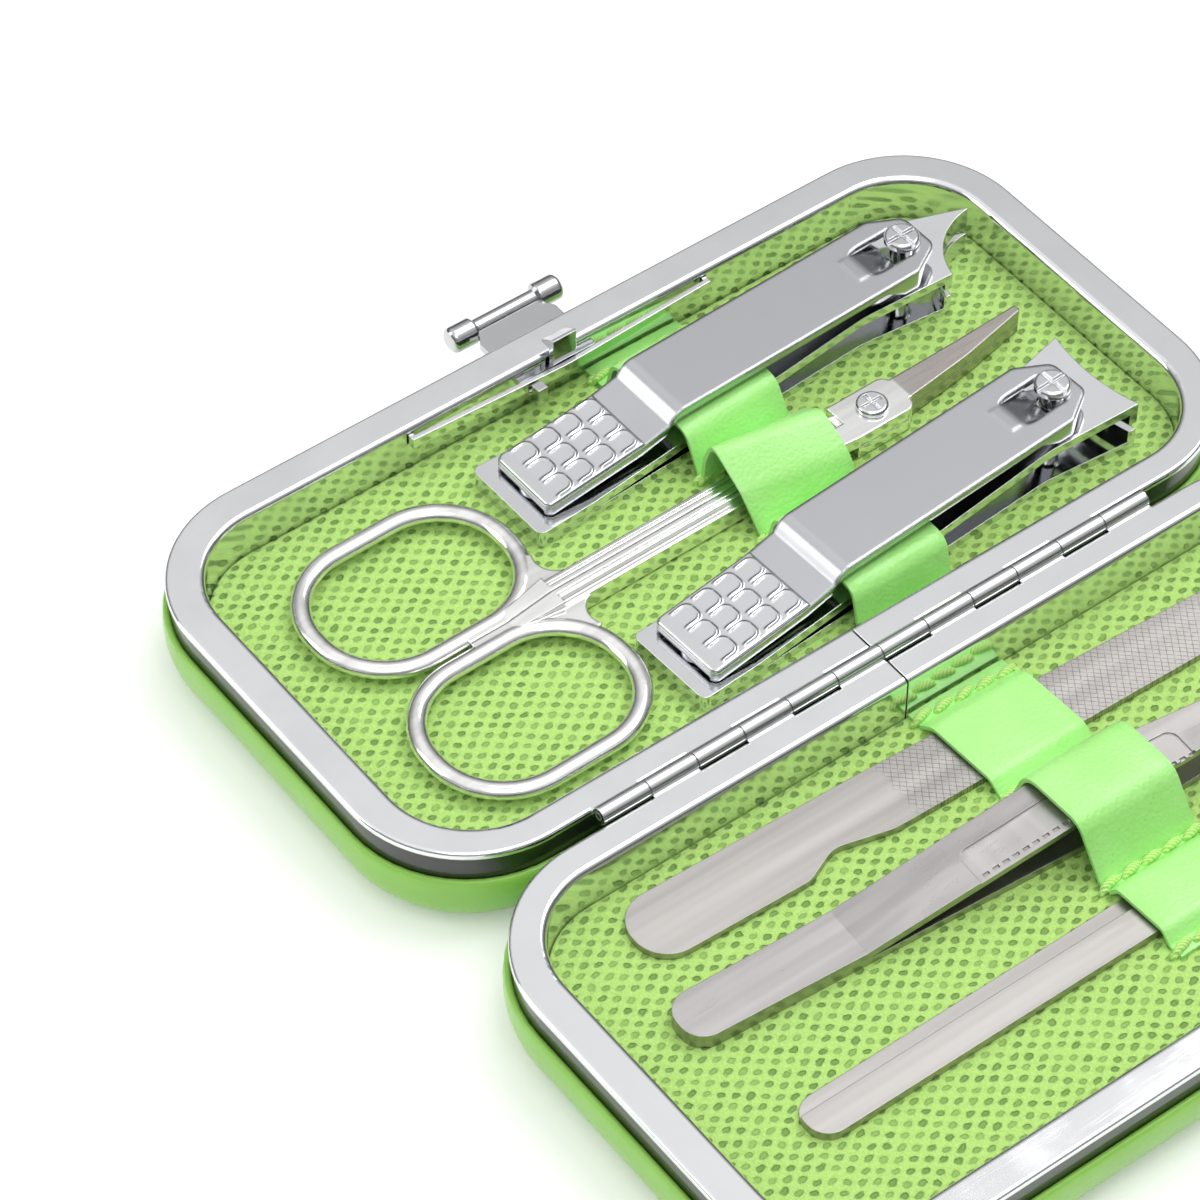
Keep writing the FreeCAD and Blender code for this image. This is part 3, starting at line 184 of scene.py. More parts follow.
def leather_grain():
    """Small rounded cells of embossed leathercloth with a softer unevenness under them."""
    w, given, out = effect(
        "leather_grain",
        [("Cell Size", "NodeSocketFloat", 2.2)],
        [("Height", "NodeSocketFloat"), ("Patches", "NodeSocketFloat")],
    )
    where = w.place()
    cells = w.add("ShaderNodeTexVoronoi", feature="SMOOTH_F1")
    drift = w.clouds(where, 0.9, 2.0)
    w.feed(cells.inputs["Vector"], where)
    w.feed(cells.inputs["Scale"], given["Cell Size"])
    w.feed(out["Height"], w.sum("ADD", cells.outputs["Distance"], w.sum("MULTIPLY", drift, 0.5)))
    w.feed(out["Patches"], w.clouds(where, 0.12, 3.0))
    return w.tree


def dimples():
    """Staggered rows of small oval pits pressed into the lining cloth, no two quite alike."""
    w, given, out = effect(
        "dimples",
        [
            ("Pitch Along", "NodeSocketFloat", 2.3),
            ("Pitch Across", "NodeSocketFloat", 0.925),
            ("Pit Length", "NodeSocketFloat", 0.62),
            ("Pit Width", "NodeSocketFloat", 0.40),
        ],
        [("Hollow", "NodeSocketFloat"), ("Fibres", "NodeSocketFloat"), ("Quilt", "NodeSocketFloat")],
    )
    where = w.place()
    axes = w.add("ShaderNodeSeparateXYZ")
    w.feed(axes.inputs[0], where)
    sway = w.sum("SUBTRACT", w.clouds(where, 0.55, 2.0), 0.5)
    across = w.sum("DIVIDE", axes.outputs["Y"], given["Pitch Across"])
    across = w.sum("ADD", across, w.sum("MULTIPLY", sway, 0.9))
    line = w.sum("FLOOR", across)
    odd = w.sum("MULTIPLY", w.sum("FLOORED_MODULO", line, 2.0), 0.5)
    along = w.sum("ADD", w.sum("DIVIDE", axes.outputs["X"], given["Pitch Along"]), odd)
    along = w.sum("ADD", along, w.sum("MULTIPLY", sway, 0.35))
    cell = w.add("ShaderNodeCombineXYZ")
    w.feed(cell.inputs["X"], w.sum("FLOOR", along))
    w.feed(cell.inputs["Y"], line)
    chance = w.add("ShaderNodeTexWhiteNoise", noise_dimensions="2D")
    w.feed(chance.inputs["Vector"], cell.outputs[0])
    u = w.sum("SUBTRACT", w.sum("FRACT", along), 0.5)
    v = w.sum("SUBTRACT", w.sum("FRACT", across), 0.5)
    u = w.sum("DIVIDE", w.sum("MULTIPLY", u, given["Pitch Along"]), given["Pit Length"])
    v = w.sum("DIVIDE", w.sum("MULTIPLY", v, given["Pitch Across"]), given["Pit Width"])
    reach = w.sum("SQRT", w.sum("ADD", w.sum("MULTIPLY", u, u), w.sum("MULTIPLY", v, v)))
    ragged = w.sum("MULTIPLY", w.sum("SUBTRACT", w.clouds(where, 3.2, 2.0), 0.5), 0.55)
    reach = w.sum("ADD", reach, ragged)
    pit = w.spread(reach, 0.45, 1.0, 1.0, 0.0)
    deep = w.spread(chance.outputs["Value"], 0.0, 1.0, 0.55, 1.0)
    w.feed(out["Hollow"], w.sum("MULTIPLY", pit, deep))
    threads = w.vector("MULTIPLY", where, (1.0, 0.45, 1.0))
    w.feed(out["Fibres"], w.clouds(threads, 5.0, 4.0, 0.75))
    w.feed(out["Quilt"], w.spread(reach, 0.7, 2.2))
    return w.tree


# Where the tools lie: X and Y of the rear end, or of the scissors' pivot, in millimetres, and the angle

FILE_PLACE = (-41.6, -15.35, -1.9)
TWEEZERS_PLACE = (-45.0, -27.25, -3.4)
SCISSORS_PLACE = (23.89, 26.81, 0.78)
LEVER_PLACES = {"large": (-16.8, 40.45, 0.8), "small": (-17.2, 10.62, 2.7)}

# Where the finish of a tool changes, from its place along it or across it, in millimetres

FILE_CREASE = 27.0
FILE_CUT_START = (31.8, 33.2)
BLADE_START = (4.3, 4.7)
GRIP_START, GRIP_END = (35.2, 36.4), (64.0, 62.5)
GRIP_EDGE = (1.05, 0.85)

# The file's cut lines: radians of their wave in a millimetre, and the shade painted into them

FILE_CUT_WAVE = 7.2
FILE_CUT_PAINTED_SHADE = (0.16, 0.145, 0.135, 1.0)

MARKS = handling_marks()
BRUSHED = brushed_lines()
GRAIN = leather_grain()
DIMPLES = dimples()


class Finish(Wiring):
    """A material with one Principled shader."""

    def __init__(self, name, **constants):
        self.material = bpy.data.materials.new(name)
        self.material.use_nodes = True
        super().__init__(self.material.node_tree)
        self.shader = self.tree.nodes["Principled BSDF"]
        for label, value in constants.items():
            self.shader.inputs[label.replace("_", " ").title()].default_value = value

    def group(self, tree, **values):
        node = self.add("ShaderNodeGroup", node_tree=tree)
        for label, value in values.items():
            self.feed(node.inputs[label.replace("_", " ").title()], value)
        return node.outputs

    def give(self, label, source):
        self.feed(self.shader.inputs[label], source)

    def eased(self, radius):
        """Normals turned over the edges, as on a deburred sheet; radius in millimetres."""
        node = self.add("ShaderNodeBevel", samples=6)
        node.inputs["Radius"].default_value = radius * MM
        return node.outputs["Normal"]


def shaded(tone, share):
    """A colour made darker or lighter, no lighter than white."""
    return tuple(min(c * share, 1.0) for c in tone[:3]) + (1.0,)


def polished_metal(name, tone, low, high, ease=0.12, ripple=0.0):
    """Bright plating between two roughnesses, with a slow ripple where the sheet isn't quite flat."""
    f = Finish(name, metallic=1.0)
    marks = f.group(MARKS)
    f.give("Base Color", f.mix(marks["Smears"], tone, shaded(tone, 0.94)))
    rough = f.spread(marks["Smears"], 0.0, 1.0, low, high)
    f.give("Roughness", f.sum("ADD", rough, f.sum("MULTIPLY", marks["Hairlines"], 0.03)))
    normal = f.eased(ease)
    if ripple:
        wave = f.clouds(f.place(), 0.16, 1.0)
        normal = f.bump(wave, ripple, 1.0, normal)
    f.give("Normal", f.bump(marks["Hairlines"], 0.002, 0.4, normal))
    return f.material


def ground_metal(name, tone, rough, depth, stretch=(0.03, 1.0, 1.0), size=3.0, ease=0.1):
    """Steel ground along its length; the finish is returned, for more to be added."""
    f = Finish(name, metallic=1.0, anisotropic=0.35)
    lines = f.group(BRUSHED, stretch=stretch, size=size)
    marks = f.group(MARKS, smear_size=0.12)
    f.give("Base Color", f.mix(lines["Shade"], shaded(tone, 0.82), tone))
    grain = f.spread(lines["Lines"], 0.2, 0.8, rough - 0.05, rough + 0.07)
    f.give("Roughness", f.sum("ADD", grain, f.sum("MULTIPLY", marks["Smears"], 0.05)))
    f.give("Normal", f.bump(lines["Lines"], depth, 0.6, f.eased(ease)))
    return f


def tool_axes(f, x, y, angle):
    """Distances along and across a tool that lies at an angle in its tray, in millimetres."""
    axes = f.add("ShaderNodeSeparateXYZ")
    f.feed(axes.inputs[0], f.vector("SUBTRACT", f.place(), (x, y, 0.0)))
    cos, sin = math.cos(math.radians(angle)), math.sin(math.radians(angle))
    forward = f.sum("MULTIPLY", axes.outputs["X"], cos)
    along = f.sum("ADD", forward, f.sum("MULTIPLY", axes.outputs["Y"], sin))
    sideways = f.sum("MULTIPLY", axes.outputs["Y"], cos)
    return along, f.sum("SUBTRACT", sideways, f.sum("MULTIPLY", axes.outputs["X"], sin))


def satin_plate(name, tone, rough, ease):
    """Plated sheet with a fine even satin, smooth to the eye and soft in its reflections."""
    f = Finish(name, metallic=1.0)
    marks = f.group(MARKS, smear_size=0.05)
    f.give("Base Color", f.mix(marks["Smears"], tone, shaded(tone, 0.95)))
    f.give("Roughness", f.spread(marks["Smears"], 0.0, 1.0, rough - 0.02, rough + 0.03))
    fine = f.clouds(f.place(), 11.0, 2.0)
    f.give("Normal", f.bump(fine, 0.0012, 0.5, f.eased(ease) if ease else None))
    return f.material


def filed_metal(name, tone):
    """Ground steel with two crossing sets of fine cut lines along the working part of the file, shade
    painted dark into the cuts.
    """
    f = ground_metal(name, tone, 0.36, 0.003)
    along, across = tool_axes(f, *FILE_PLACE)
    slopes = []
    for lean, weight in ((1.15, 1.0), (-0.62, 0.75)):
        slant = f.sum("ADD", along, f.sum("MULTIPLY", across, lean))
        wave = f.sum("SINE", f.sum("MULTIPLY", slant, FILE_CUT_WAVE))
        slopes.append(f.sum("MULTIPLY", f.spread(wave, 0.80, 0.99), weight))
    cuts = f.sum("MAXIMUM", *slopes)
    fray = f.sum("MULTIPLY", f.clouds(f.place(), 0.9, 3.0), 3.0)
    working = f.spread(f.sum("SUBTRACT", along, fray), *FILE_CUT_START)
    worn = f.spread(f.clouds(f.place(), 1.8, 2.0), 0.25, 0.6, 0.35, 1.0)
    cuts = f.sum("MULTIPLY", f.sum("MULTIPLY", cuts, working), worn)
    old = f.shader.inputs["Base Color"].links[0].from_socket
    # painted shade: the cut lines are coloured dark for the shade in their grooves, fainter where the
    # cuts are worn
    f.give("Base Color", f.mix(f.sum("MULTIPLY", cuts, 0.85), old, FILE_CUT_PAINTED_SHADE))
    from_crease = f.sum("ABSOLUTE", f.sum("SUBTRACT", along, FILE_CREASE))
    crease = f.spread(from_crease, 0.02, 0.1, 1.0, 0.0)
    normal = f.shader.inputs["Normal"].links[0].from_socket
    raised = f.sum("SUBTRACT", 1.0, f.sum("MAXIMUM", cuts, f.sum("MULTIPLY", crease, 0.3)))
    f.give("Normal", f.bump(raised, 0.012, 0.6, normal))
    return f.material


def scissors_metal(name, tone, blade_tone):
    """Bright satin rings, shanks and boss; past the boss the blade is ground and a little warmer."""
    f = ground_metal(name, tone, 0.11, 0.0008, (0.05, 1, 1), 3.0, 0.3)
    along, _ = tool_axes(f, *SCISSORS_PLACE)
    blade = f.spread(along, *BLADE_START)
    lines = f.group(BRUSHED, stretch=(0.02, 1.0, 1.0), size=4.5)
    streaked = f.mix(lines["Lines"], shaded(blade_tone, 0.84), blade_tone)
    old = f.shader.inputs["Base Color"].links[0].from_socket
    f.give("Base Color", f.mix(blade, old, streaked))
    rough = f.shader.inputs["Roughness"].links[0].from_socket
    f.give("Roughness", f.sum("ADD", rough, f.sum("MULTIPLY", blade, 0.14)))
    normal = f.shader.inputs["Normal"].links[0].from_socket
    f.give("Normal", f.bump(f.sum("MULTIPLY", lines["Lines"], blade), 0.003, 0.6, normal))
    return f.material


def tweezers_metal(name, tone):
    """Satin steel; between the joint and the tips the grip is ground across its width."""
    f = ground_metal(name, tone, 0.30, 0.003)
    along, across = tool_axes(f, *TWEEZERS_PLACE)
    grip = f.sum("MULTIPLY", f.spread(along, *GRIP_START), f.spread(along, *GRIP_END))
    grip = f.sum("MULTIPLY", grip, f.spread(across, *GRIP_EDGE))
    lines = f.group(BRUSHED, stretch=(1.0, 0.04, 1.0), size=3.4)
    old = f.shader.inputs["Base Color"].links[0].from_socket
    ground = f.mix(lines["Shade"], tone, shaded(tone, 1.12))
    f.give("Base Color", f.mix(grip, old, ground))
    normal = f.shader.inputs["Normal"].links[0].from_socket
    f.give("Normal", f.bump(f.sum("MULTIPLY", lines["Lines"], grip), 0.012, 0.7, normal))
    return f.material


LACQUER_CLEAN, LACQUER_SMEARED = (0.006, 0.006, 0.006, 1), (0.012, 0.012, 0.013, 1)
CLOTH_DARK, CLOTH_LIGHT = (0.40, 0.66, 0.15, 1), (0.53, 0.83, 0.225, 1)
# painted shade: the colour of the lining down in its pits, standing for the shade there
CLOTH_PIT_SHADE = (0.16, 0.34, 0.045, 1)
# painted shade and light: the thread's colour in the grooves between its plies and on their crests;
# random fuzz also pulls it towards the darker one
THREAD_GROOVE_SHADE_AND_FUZZ, THREAD_LIT_CREST = (0.40, 0.76, 0.15, 1), (0.66, 0.95, 0.32, 1)


def black_lacquer():
    """Glossy black of the moulded trays, with faint smears."""
    f = Finish("black_lacquer", coat_weight=0.5, coat_roughness=0.05)
    marks = f.group(MARKS, smear_size=0.15)
    f.give("Base Color", f.mix(marks["Smears"], LACQUER_CLEAN, LACQUER_SMEARED))
    f.give("Roughness", f.spread(marks["Smears"], 0.0, 1.0, 0.14, 0.24))
    f.give("Normal", f.bump(marks["Hairlines"], 0.003, 0.3, f.eased(0.2)))
    return f.material


def leathercloth(name, light, dark, rough, cell, depth):
    """Coated cloth with embossed grain; depth is the grain's, in millimetres."""
    f = Finish(name, coat_weight=0.15, coat_roughness=0.25, sheen_weight=0.05)
    grain = f.group(GRAIN, cell_size=cell)
    f.give("Base Color", f.mix(f.spread(grain["Patches"], 0.3, 0.7), dark, light))
    f.give("Roughness", f.spread(grain["Height"], 0.1, 0.9, rough + 0.08, rough - 0.06))
    f.give("Normal", f.bump(grain["Height"], depth, 0.7))
    return f.material


def felted_lining():
    """Soft felted cloth with pressed pits, swelling a little between them; shade is painted dark into
    the pits.
    """
    f = Finish("felted_lining", sheen_weight=0.15, sheen_roughness=0.5)
    cloth = f.group(DIMPLES)
    ground = f.mix(f.spread(cloth["Fibres"], 0.3, 0.7), CLOTH_DARK, CLOTH_LIGHT)
    # painted shade: the cloth is coloured darker in its pits, the deeper the pit the darker
    f.give("Base Color", f.mix(cloth["Hollow"], ground, CLOTH_PIT_SHADE))
    f.give("Roughness", f.spread(cloth["Hollow"], 0.0, 1.0, 0.82, 0.6))
    fluff = f.bump(cloth["Fibres"], 0.10, 0.6)
    swell = f.bump(cloth["Quilt"], 0.16, 0.8, fluff)
    raised = f.sum("SUBTRACT", 1.0, cloth["Hollow"])
    f.give("Normal", f.bump(raised, 0.3, 1.0, swell))
    return f.material


def sewing_thread():
    """Thick thread, its plies twisted round each other, painted darker in the grooves between the plies
    and lighter on their crests as shade and light.
    """
    f = Finish("sewing_thread", roughness=0.7, sheen_weight=0.2)
    axes = f.add("ShaderNodeSeparateXYZ")
    f.feed(axes.inputs[0], f.place())
    twist = f.sum("ADD", axes.outputs["X"], f.sum("MULTIPLY", axes.outputs["Y"], 1.3))
    ply = f.spread(f.sum("SINE", f.sum("MULTIPLY", twist, 11.0)), -0.6, 0.8)
    fuzz = f.clouds(f.place(), 6.0, 2.0)
    shade = f.sum("MULTIPLY", ply, f.spread(fuzz, 0.2, 0.7, 0.7, 1.0))
    # painted shade and light along the plies, darkened at random by the fuzz
    f.give("Base Color", f.mix(shade, THREAD_GROOVE_SHADE_AND_FUZZ, THREAD_LIT_CREST))
    f.give("Normal", f.bump(ply, 0.07, 0.7))
    return f.material


PLATE = polished_metal("plated_frame", (0.82, 0.83, 0.845, 1), 0.07, 0.14, 0.2, 0.006)
CLASP = polished_metal("stamped_clasp", (0.60, 0.605, 0.615, 1), 0.10, 0.2, 0.15, 0.02)
CHROME = polished_metal("polished_jaws", (0.74, 0.75, 0.77, 1), 0.05, 0.10, 0.12)
SATIN = satin_plate("satin_lever", (0.56, 0.57, 0.59, 1), 0.20, 0.6)
SCALES = satin_plate("pressed_scales", (0.66, 0.67, 0.69, 1), 0.16, 0.0)
RINGS = scissors_metal("satin_scissors", (0.95, 0.95, 0.94, 1), (0.50, 0.465, 0.44, 1))
STEEL = ground_metal("ground_steel", (0.47, 0.45, 0.435, 1), 0.32, 0.004).material
TWEEZERS = tweezers_metal("tweezers_steel", (0.44, 0.425, 0.418, 1))
FILED = filed_metal("filed_steel", (0.465, 0.445, 0.43, 1))
BLACK = black_lacquer()
COVER = leathercloth(
    "cover_leathercloth", (0.33, 0.70, 0.11, 1), (0.305, 0.66, 0.098, 1), 0.36, 1.6, 0.05
)
STRAP = leathercloth(
    "strap_leathercloth", (0.43, 0.90, 0.27, 1), (0.38, 0.84, 0.22, 1), 0.36, 2.5, 0.09
)
LINING = felted_lining()
THREAD = sewing_thread()

# Finishes of the solids that stay in view

for material, nodes in (
    (PLATE, ("base_frame", "lid_frame", "hinge_pin", "clasp_spring")),
    (CLASP, ("clasp_slide", "clasp_button")),
    (BLACK, ("base_shell", "lid_shell")),
    (
        CHROME,
        ("large_lower_arm", "large_upper_arm", "large_pin", "large_rivet", "small_lower_arm")
        + ("small_upper_arm", "small_pin", "small_rivet", "scissors_screw"),
    ),
    (SATIN, ("large_lever", "small_lever")),
    (RINGS, ("scissors_blade_a", "scissors_blade_b")),
    (STEEL, ("tweezers_lower_leg", "cuticle_pusher")),
    (TWEEZERS, ("tweezers_upper_leg",)),
    (FILED, ("nail_file",)),
):
    for node in nodes:
        obj = frame["nodes"][node]
        obj.data.materials.clear()
        obj.data.materials.append(material)

# Mesh helpers

HALVES = {"base": 1, "lid": -1}


def in_case(half, x, y, z):
    """A point drawn from the hinge line of one half, in metres in the part's frame."""
    side = HALVES[half]
    return Vector((x * side, y * side + HINGE_Y, z + FLANGE_Z)) * MM


CORNER_STEPS = 12
SIDE_SPANS, LENGTH_SPANS = 10, 24
SMALLEST_CORNER = 0.5


def rounded_loop(half_length, near, far, radius):
    """Points round a rectangle with rounded corners, anticlockwise, as many for any size."""
    radius = max(radius, SMALLEST_CORNER)
    points = []
    corners = (
        (half_length - radius, near + radius, -90, SIDE_SPANS),
        (half_length - radius, far - radius, 0, LENGTH_SPANS),
        (-half_length + radius, far - radius, 90, SIDE_SPANS),
        (-half_length + radius, near + radius, 180, LENGTH_SPANS),
    )
    for index, (x, y, start, spans) in enumerate(corners):
        for step in range(CORNER_STEPS + 1):
            turn = math.radians(start + 90 * step / CORNER_STEPS)
            points.append((x + radius * math.cos(turn), y + radius * math.sin(turn)))
        next_x, next_y, next_start, _ = corners[(index + 1) % 4]
        turn = math.radians(next_start)
        end = (next_x + radius * math.cos(turn), next_y + radius * math.sin(turn))
        x, y = points[-1]
        for part in range(1, spans):
            share = part / spans
            points.append((x + (end[0] - x) * share, y + (end[1] - y) * share))
    return points


def new_piece(name, mesh, material, body):
    """A mesh or curve put in the scene, carried by a body."""
    piece = bpy.data.objects.new(name, mesh)
    bpy.context.scene.collection.objects.link(piece)
    mesh.materials.append(material)
    if hasattr(mesh, "polygons"):
        for polygon in mesh.polygons:
            polygon.use_smooth = True
    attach(piece, body)
    return piece


def lofted(name, rows):
    """A closed skin through loops of equal count."""
    work = bmesh.new()
    rings = [[work.verts.new(point) for point in row] for row in rows]
    for lower, upper in zip(rings, rings[1:]):
        count = len(lower)
        for i in range(count):
            work.faces.new((lower[i], lower[(i + 1) % count], upper[(i + 1) % count], upper[i]))
    work.faces.new(rings[0][::-1])
    work.faces.new(rings[-1])
    bmesh.ops.recalc_face_normals(work, faces=work.faces)
    mesh = bpy.data.meshes.new(name)
    work.to_mesh(mesh)
    work.free()
    return mesh


# Padded covers, drawn over the rims of the shells

# each row: how far it stands out from the case's outline, and its level under the flange

COVER_ROWS = (
    (-0.33, -8.4),
    (-0.33, -4.5),
    (-0.20, -4.2),
    (0.10, -4.12),
    (0.38, -4.25),
    (0.56, -4.65),
    (0.62, -5.5),
    (0.60, -6.6),
    (0.48, -7.8),
    (0.10, -9.2),
    (-0.70, -10.5),
    (-1.95, -11.5),
    (-3.60, -12.12),
    (-5.60, -12.36),
    (-9.00, -12.4),
    (-16.0, -12.4),
)
COVER_SLACK = 0.12
SLACK_FROM, SLACK_TO = -11.8, -4.6


def cover(half):
    """The leathercloth skin of one half, a little uneven where nothing holds it."""
    rows = []
    for spread, level in COVER_ROWS:
        row = []
        loop = rounded_loop(CASE_HALF + spread, NEAR - spread, FAR + spread, CORNER + spread)
        for x, y in loop:
            slack = noise.noise(Vector((x * 0.09, y * 0.09, level * 0.3))) * COVER_SLACK
            drawn = slack if SLACK_FROM < level < SLACK_TO else 0.0
            out = Vector((x, y - (NEAR + FAR) / 2)).normalized()
            row.append(in_case(half, x + out.x * drawn, y + out.y * drawn, level))
        rows.append(row)
    piece = new_piece(
        half + "_padded_cover", lofted(half + "_padded_cover", rows), COVER, half
    )
    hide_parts(half + "_cover")


# Linings, felted cloth over board

# each row: how far it stands out from the tray's outline, and its level under the flange

LINING_ROWS = (
    (-0.05, -7.0),
    (-0.05, -6.1),
    (-0.25, -5.85),
    (-0.8, LINING_LEVEL),
    (-6.0, LINING_LEVEL),
)


def lining(half):
    """The cloth over the board of one half, its edge turned down."""
    rows = []
    for spread, level in LINING_ROWS:
        loop = rounded_loop(
            TRAY_HALF + spread, TRAY_NEAR - spread, TRAY_FAR + spread, TRAY_CORNER + spread
        )
        rows.append([in_case(half, x, y, level) for x, y in loop])
    piece = new_piece(
        half + "_cloth_lining", lofted(half + "_cloth_lining", rows), LINING, half
    )
    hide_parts(half + "_lining")


# Straps, sewn down between the tools

STRAP_THICK = 0.5
STRAP_WIDTH = 13.0
STRAP_COLUMNS = 10
STRAP_CROWN, STRAP_WAVE = 0.10, 0.12
STRAP_EDGE_ROUND = 0.15
THREAD_RADIUS = 0.5
STITCHES_IN_ROW = 5
ROW_OVERHANG = 0.5

# each edge of a strap, from the far end: distance from the hinge, height over the lining and bend
# the scissors' loop has slumped, so the back strap's two edges differ

BASE_LEFT_EDGE = (
    (56.5, 0.0, 0.0),
    (52.4, 0.0, 0.6),
    (51.2, 5.2, 1.6),
    (38.2, 5.2, 1.8),
    (35.5, 0.0, 0.3),
    (34.7, 0.0, 0.3),
    (34.3, 4.2, 2.0),
    (33.3, 7.2, 1.1),
    (28.2, 4.2, 4.0),
    (24.3, 0.0, 0.4),
    (23.2, 0.0, 0.3),
    (21.9, 5.2, 1.6),
    (8.9, 5.2, 1.6),
    (7.7, 0.0, 0.4),
    (5.14, 0.0, 0.0),
)
BASE_RIGHT_EDGE = (
    (56.5, 0.0, 0.0),
    (52.4, 0.0, 0.6),
    (51.2, 5.3, 1.6),
    (38.6, 5.6, 1.8),
    (35.2, 0.0, 0.3),
    (34.5, 0.0, 0.3),
    (33.4, 4.6, 2.0),
    (30.3, 7.2, 1.8),
    (25.6, 4.9, 4.0),
    (22.8, 0.0, 0.4),
    (22.1, 0.0, 0.3),
    (21.7, 5.2, 1.6),
    (9.0, 5.2, 1.6),
    (7.8, 0.0, 0.4),
    (5.14, 0.0, 0.0),
)
LID_EDGE = (
    (46.9, 0.0, 0.0),
    (45.0, 0.0, 1.0),
    (43.7, 1.5, 1.0),
    (37.3, 1.5, 1.0),
    (36.2, 0.0, 0.5),
    (34.7, 0.0, 0.6),
    (30.7, 6.3, 2.6),
    (23.0, 6.6, 2.2),
    (21.0, 0.0, 0.4),
    (19.4, 0.0, 0.9),
    (17.7, 1.3, 1.4),
    (9.0, 1.3, 1.6),
    (7.2, 0.0, 1.0),
    (5.14, 0.0, 0.0),
)


BEND_STEPS = 6


def bent_route(corners):
    """The strap's underside with its bends rounded, as points of distance and height."""
    points = []
    for index, (y, z, radius) in enumerate(corners):
        here = Vector((y, z))
        if radius == 0:
            points.append(here)
            continue
        back = (Vector(corners[index - 1][:2]) - here).normalized()
        ahead = (Vector(corners[index + 1][:2]) - here).normalized()
        half = back.angle(ahead) / 2
        reach = radius / math.tan(half)
        start, end = here + back * reach, here + ahead * reach
        for step in range(BEND_STEPS + 1):
            t = step / BEND_STEPS
            points.append(start * (1 - t) ** 2 + here * 2 * t * (1 - t) + end * t**2)
    return points


def strap_edge(left, lean, distance):
    """Where the strap's left edge runs at a distance from the hinge; lean is how far it is askew."""
    return left + lean * (distance - TRAY_NEAR)


def stitches(half, left, lean, rows):
    """Thick thread sewn across a strap, each stitch bulging between the holes it dives through."""
    thread = bpy.data.curves.new(half + "_strap_stitches", "CURVE")
    thread.dimensions = "3D"
    thread.bevel_depth = THREAD_RADIUS * MM
    thread.bevel_resolution = 3
    thread.use_fill_caps = True
    pitch = (STRAP_WIDTH + 2 * ROW_OVERHANG) / STITCHES_IN_ROW

    def sew(shape):
        """One stitch through points of distance along the row, across it, rise and girth."""
        spline = thread.splines.new("NURBS")
        spline.points.add(len(shape) - 1)
        for point, (x, across, rise, girth) in zip(spline.points, shape):
            point.co = (*in_case(half, x, across, rise + STRAP_THICK + LINING_LEVEL), 1.0)
            point.radius = girth
        spline.order_u = 3
        spline.use_endpoint_u = True

    for line, (row, slope) in enumerate(rows):
        edge = strap_edge(left, lean, row)
        for index in range(STITCHES_IN_ROW):
            start = edge - ROW_OVERHANG + pitch * (index + 0.06)
            end = edge - ROW_OVERHANG + pitch * (index + 0.98)
            y = row + slope * (index + 0.5) / STITCHES_IN_ROW
            sway = noise.noise(Vector((index * 1.7, line * 2.3, 5.0 if half == "lid" else 1.0)))
            lean_out, rise = 0.22 + 0.2 * sway, 0.36 + 0.12 * sway
            sew(
                (
                    (start, y - lean_out, -0.35, 0.45),
                    (start + 0.12, y - lean_out, rise * 0.6, 0.75),
                    (start + pitch * 0.28, y - lean_out * 0.5, rise, 1.0),
                    ((start + end) / 2, y, rise + 0.06, 1.08),
                    (end - pitch * 0.28, y + lean_out * 0.5, rise, 1.0),
                    (end - 0.12, y + lean_out, rise * 0.6, 0.75),
                    (end, y + lean_out, -0.35, 0.45),
                )
            )
        # the thread's ends turn under the strap's edges
        for side, way, y in ((edge, -1, row), (edge + STRAP_WIDTH, 1, row + slope)):
            sew(
                (
                    (side - 0.3 * way, y + 0.3, 0.2, 0.7),
                    (side + 0.45 * way, y + 0.35, 0.05, 0.75),
                    (side + 0.6 * way, y + 0.2, -0.5, 0.75),
                    (side + 0.1 * way, y - 0.1, -0.75, 0.5),
                )
            )
    return new_piece(thread.name, thread, THREAD, half)


def strap(half, left_edge, right_edge, left, lean, rows):
    """A strip of leathercloth over the tools, sewn down along the given rows of stitches."""
    routes = bent_route(left_edge), bent_route(right_edge)
    work = bmesh.new()
    grid = []

    def rise(route, index):
        """The way up out of the strap at one point of an edge."""
        before, after = route[max(index - 1, 0)], route[min(index + 1, len(route) - 1)]
        along = (before - after).normalized()
        return Vector((-along.y, along.x))

    for index, (first, last) in enumerate(zip(*routes)):
        line = []
        for column in range(STRAP_COLUMNS + 1):
            share = column / STRAP_COLUMNS
            normal = rise(routes[0], index).lerp(rise(routes[1], index), share).normalized()
            lift = STRAP_CROWN * (1 - (2 * share - 1) ** 4)
            wave = noise.noise(Vector((share * 2.0, first.x * 0.15, 3.0))) * STRAP_WAVE
            place = first.lerp(last, share) + normal * (lift + max(wave, 0.0))
            x = strap_edge(left, lean, place.x) + STRAP_WIDTH * share
            line.append(work.verts.new(in_case(half, x, place.x, place.y + LINING_LEVEL)))
        grid.append(line)
    for first, second in zip(grid, grid[1:]):
        for i in range(STRAP_COLUMNS):
            work.faces.new((first[i], first[i + 1], second[i + 1], second[i]))
    bmesh.ops.recalc_face_normals(work, faces=work.faces)
    mesh = bpy.data.meshes.new(half + "_leathercloth_strap")
    work.to_mesh(mesh)
    work.free()
    up = sum((polygon.normal.z * polygon.area for polygon in mesh.polygons), 0.0)
    if up < 0:
        mesh.flip_normals()
    piece = new_piece(half + "_leathercloth_strap", mesh, STRAP, half)
    thick = piece.modifiers.new("thickness", "SOLIDIFY")
    thick.thickness = STRAP_THICK * MM
    thick.offset = 1.0
    edges = piece.modifiers.new("soft_edges", "BEVEL")
    edges.width = STRAP_EDGE_ROUND * MM
    edges.segments = 2
    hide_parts(half + "_strap")
    if half == "base":
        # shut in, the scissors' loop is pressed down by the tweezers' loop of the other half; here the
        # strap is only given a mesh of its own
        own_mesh(piece)
    thread = stitches(half, left, lean, rows)


# Thumb pads of the clippers, pressed with rows of scales

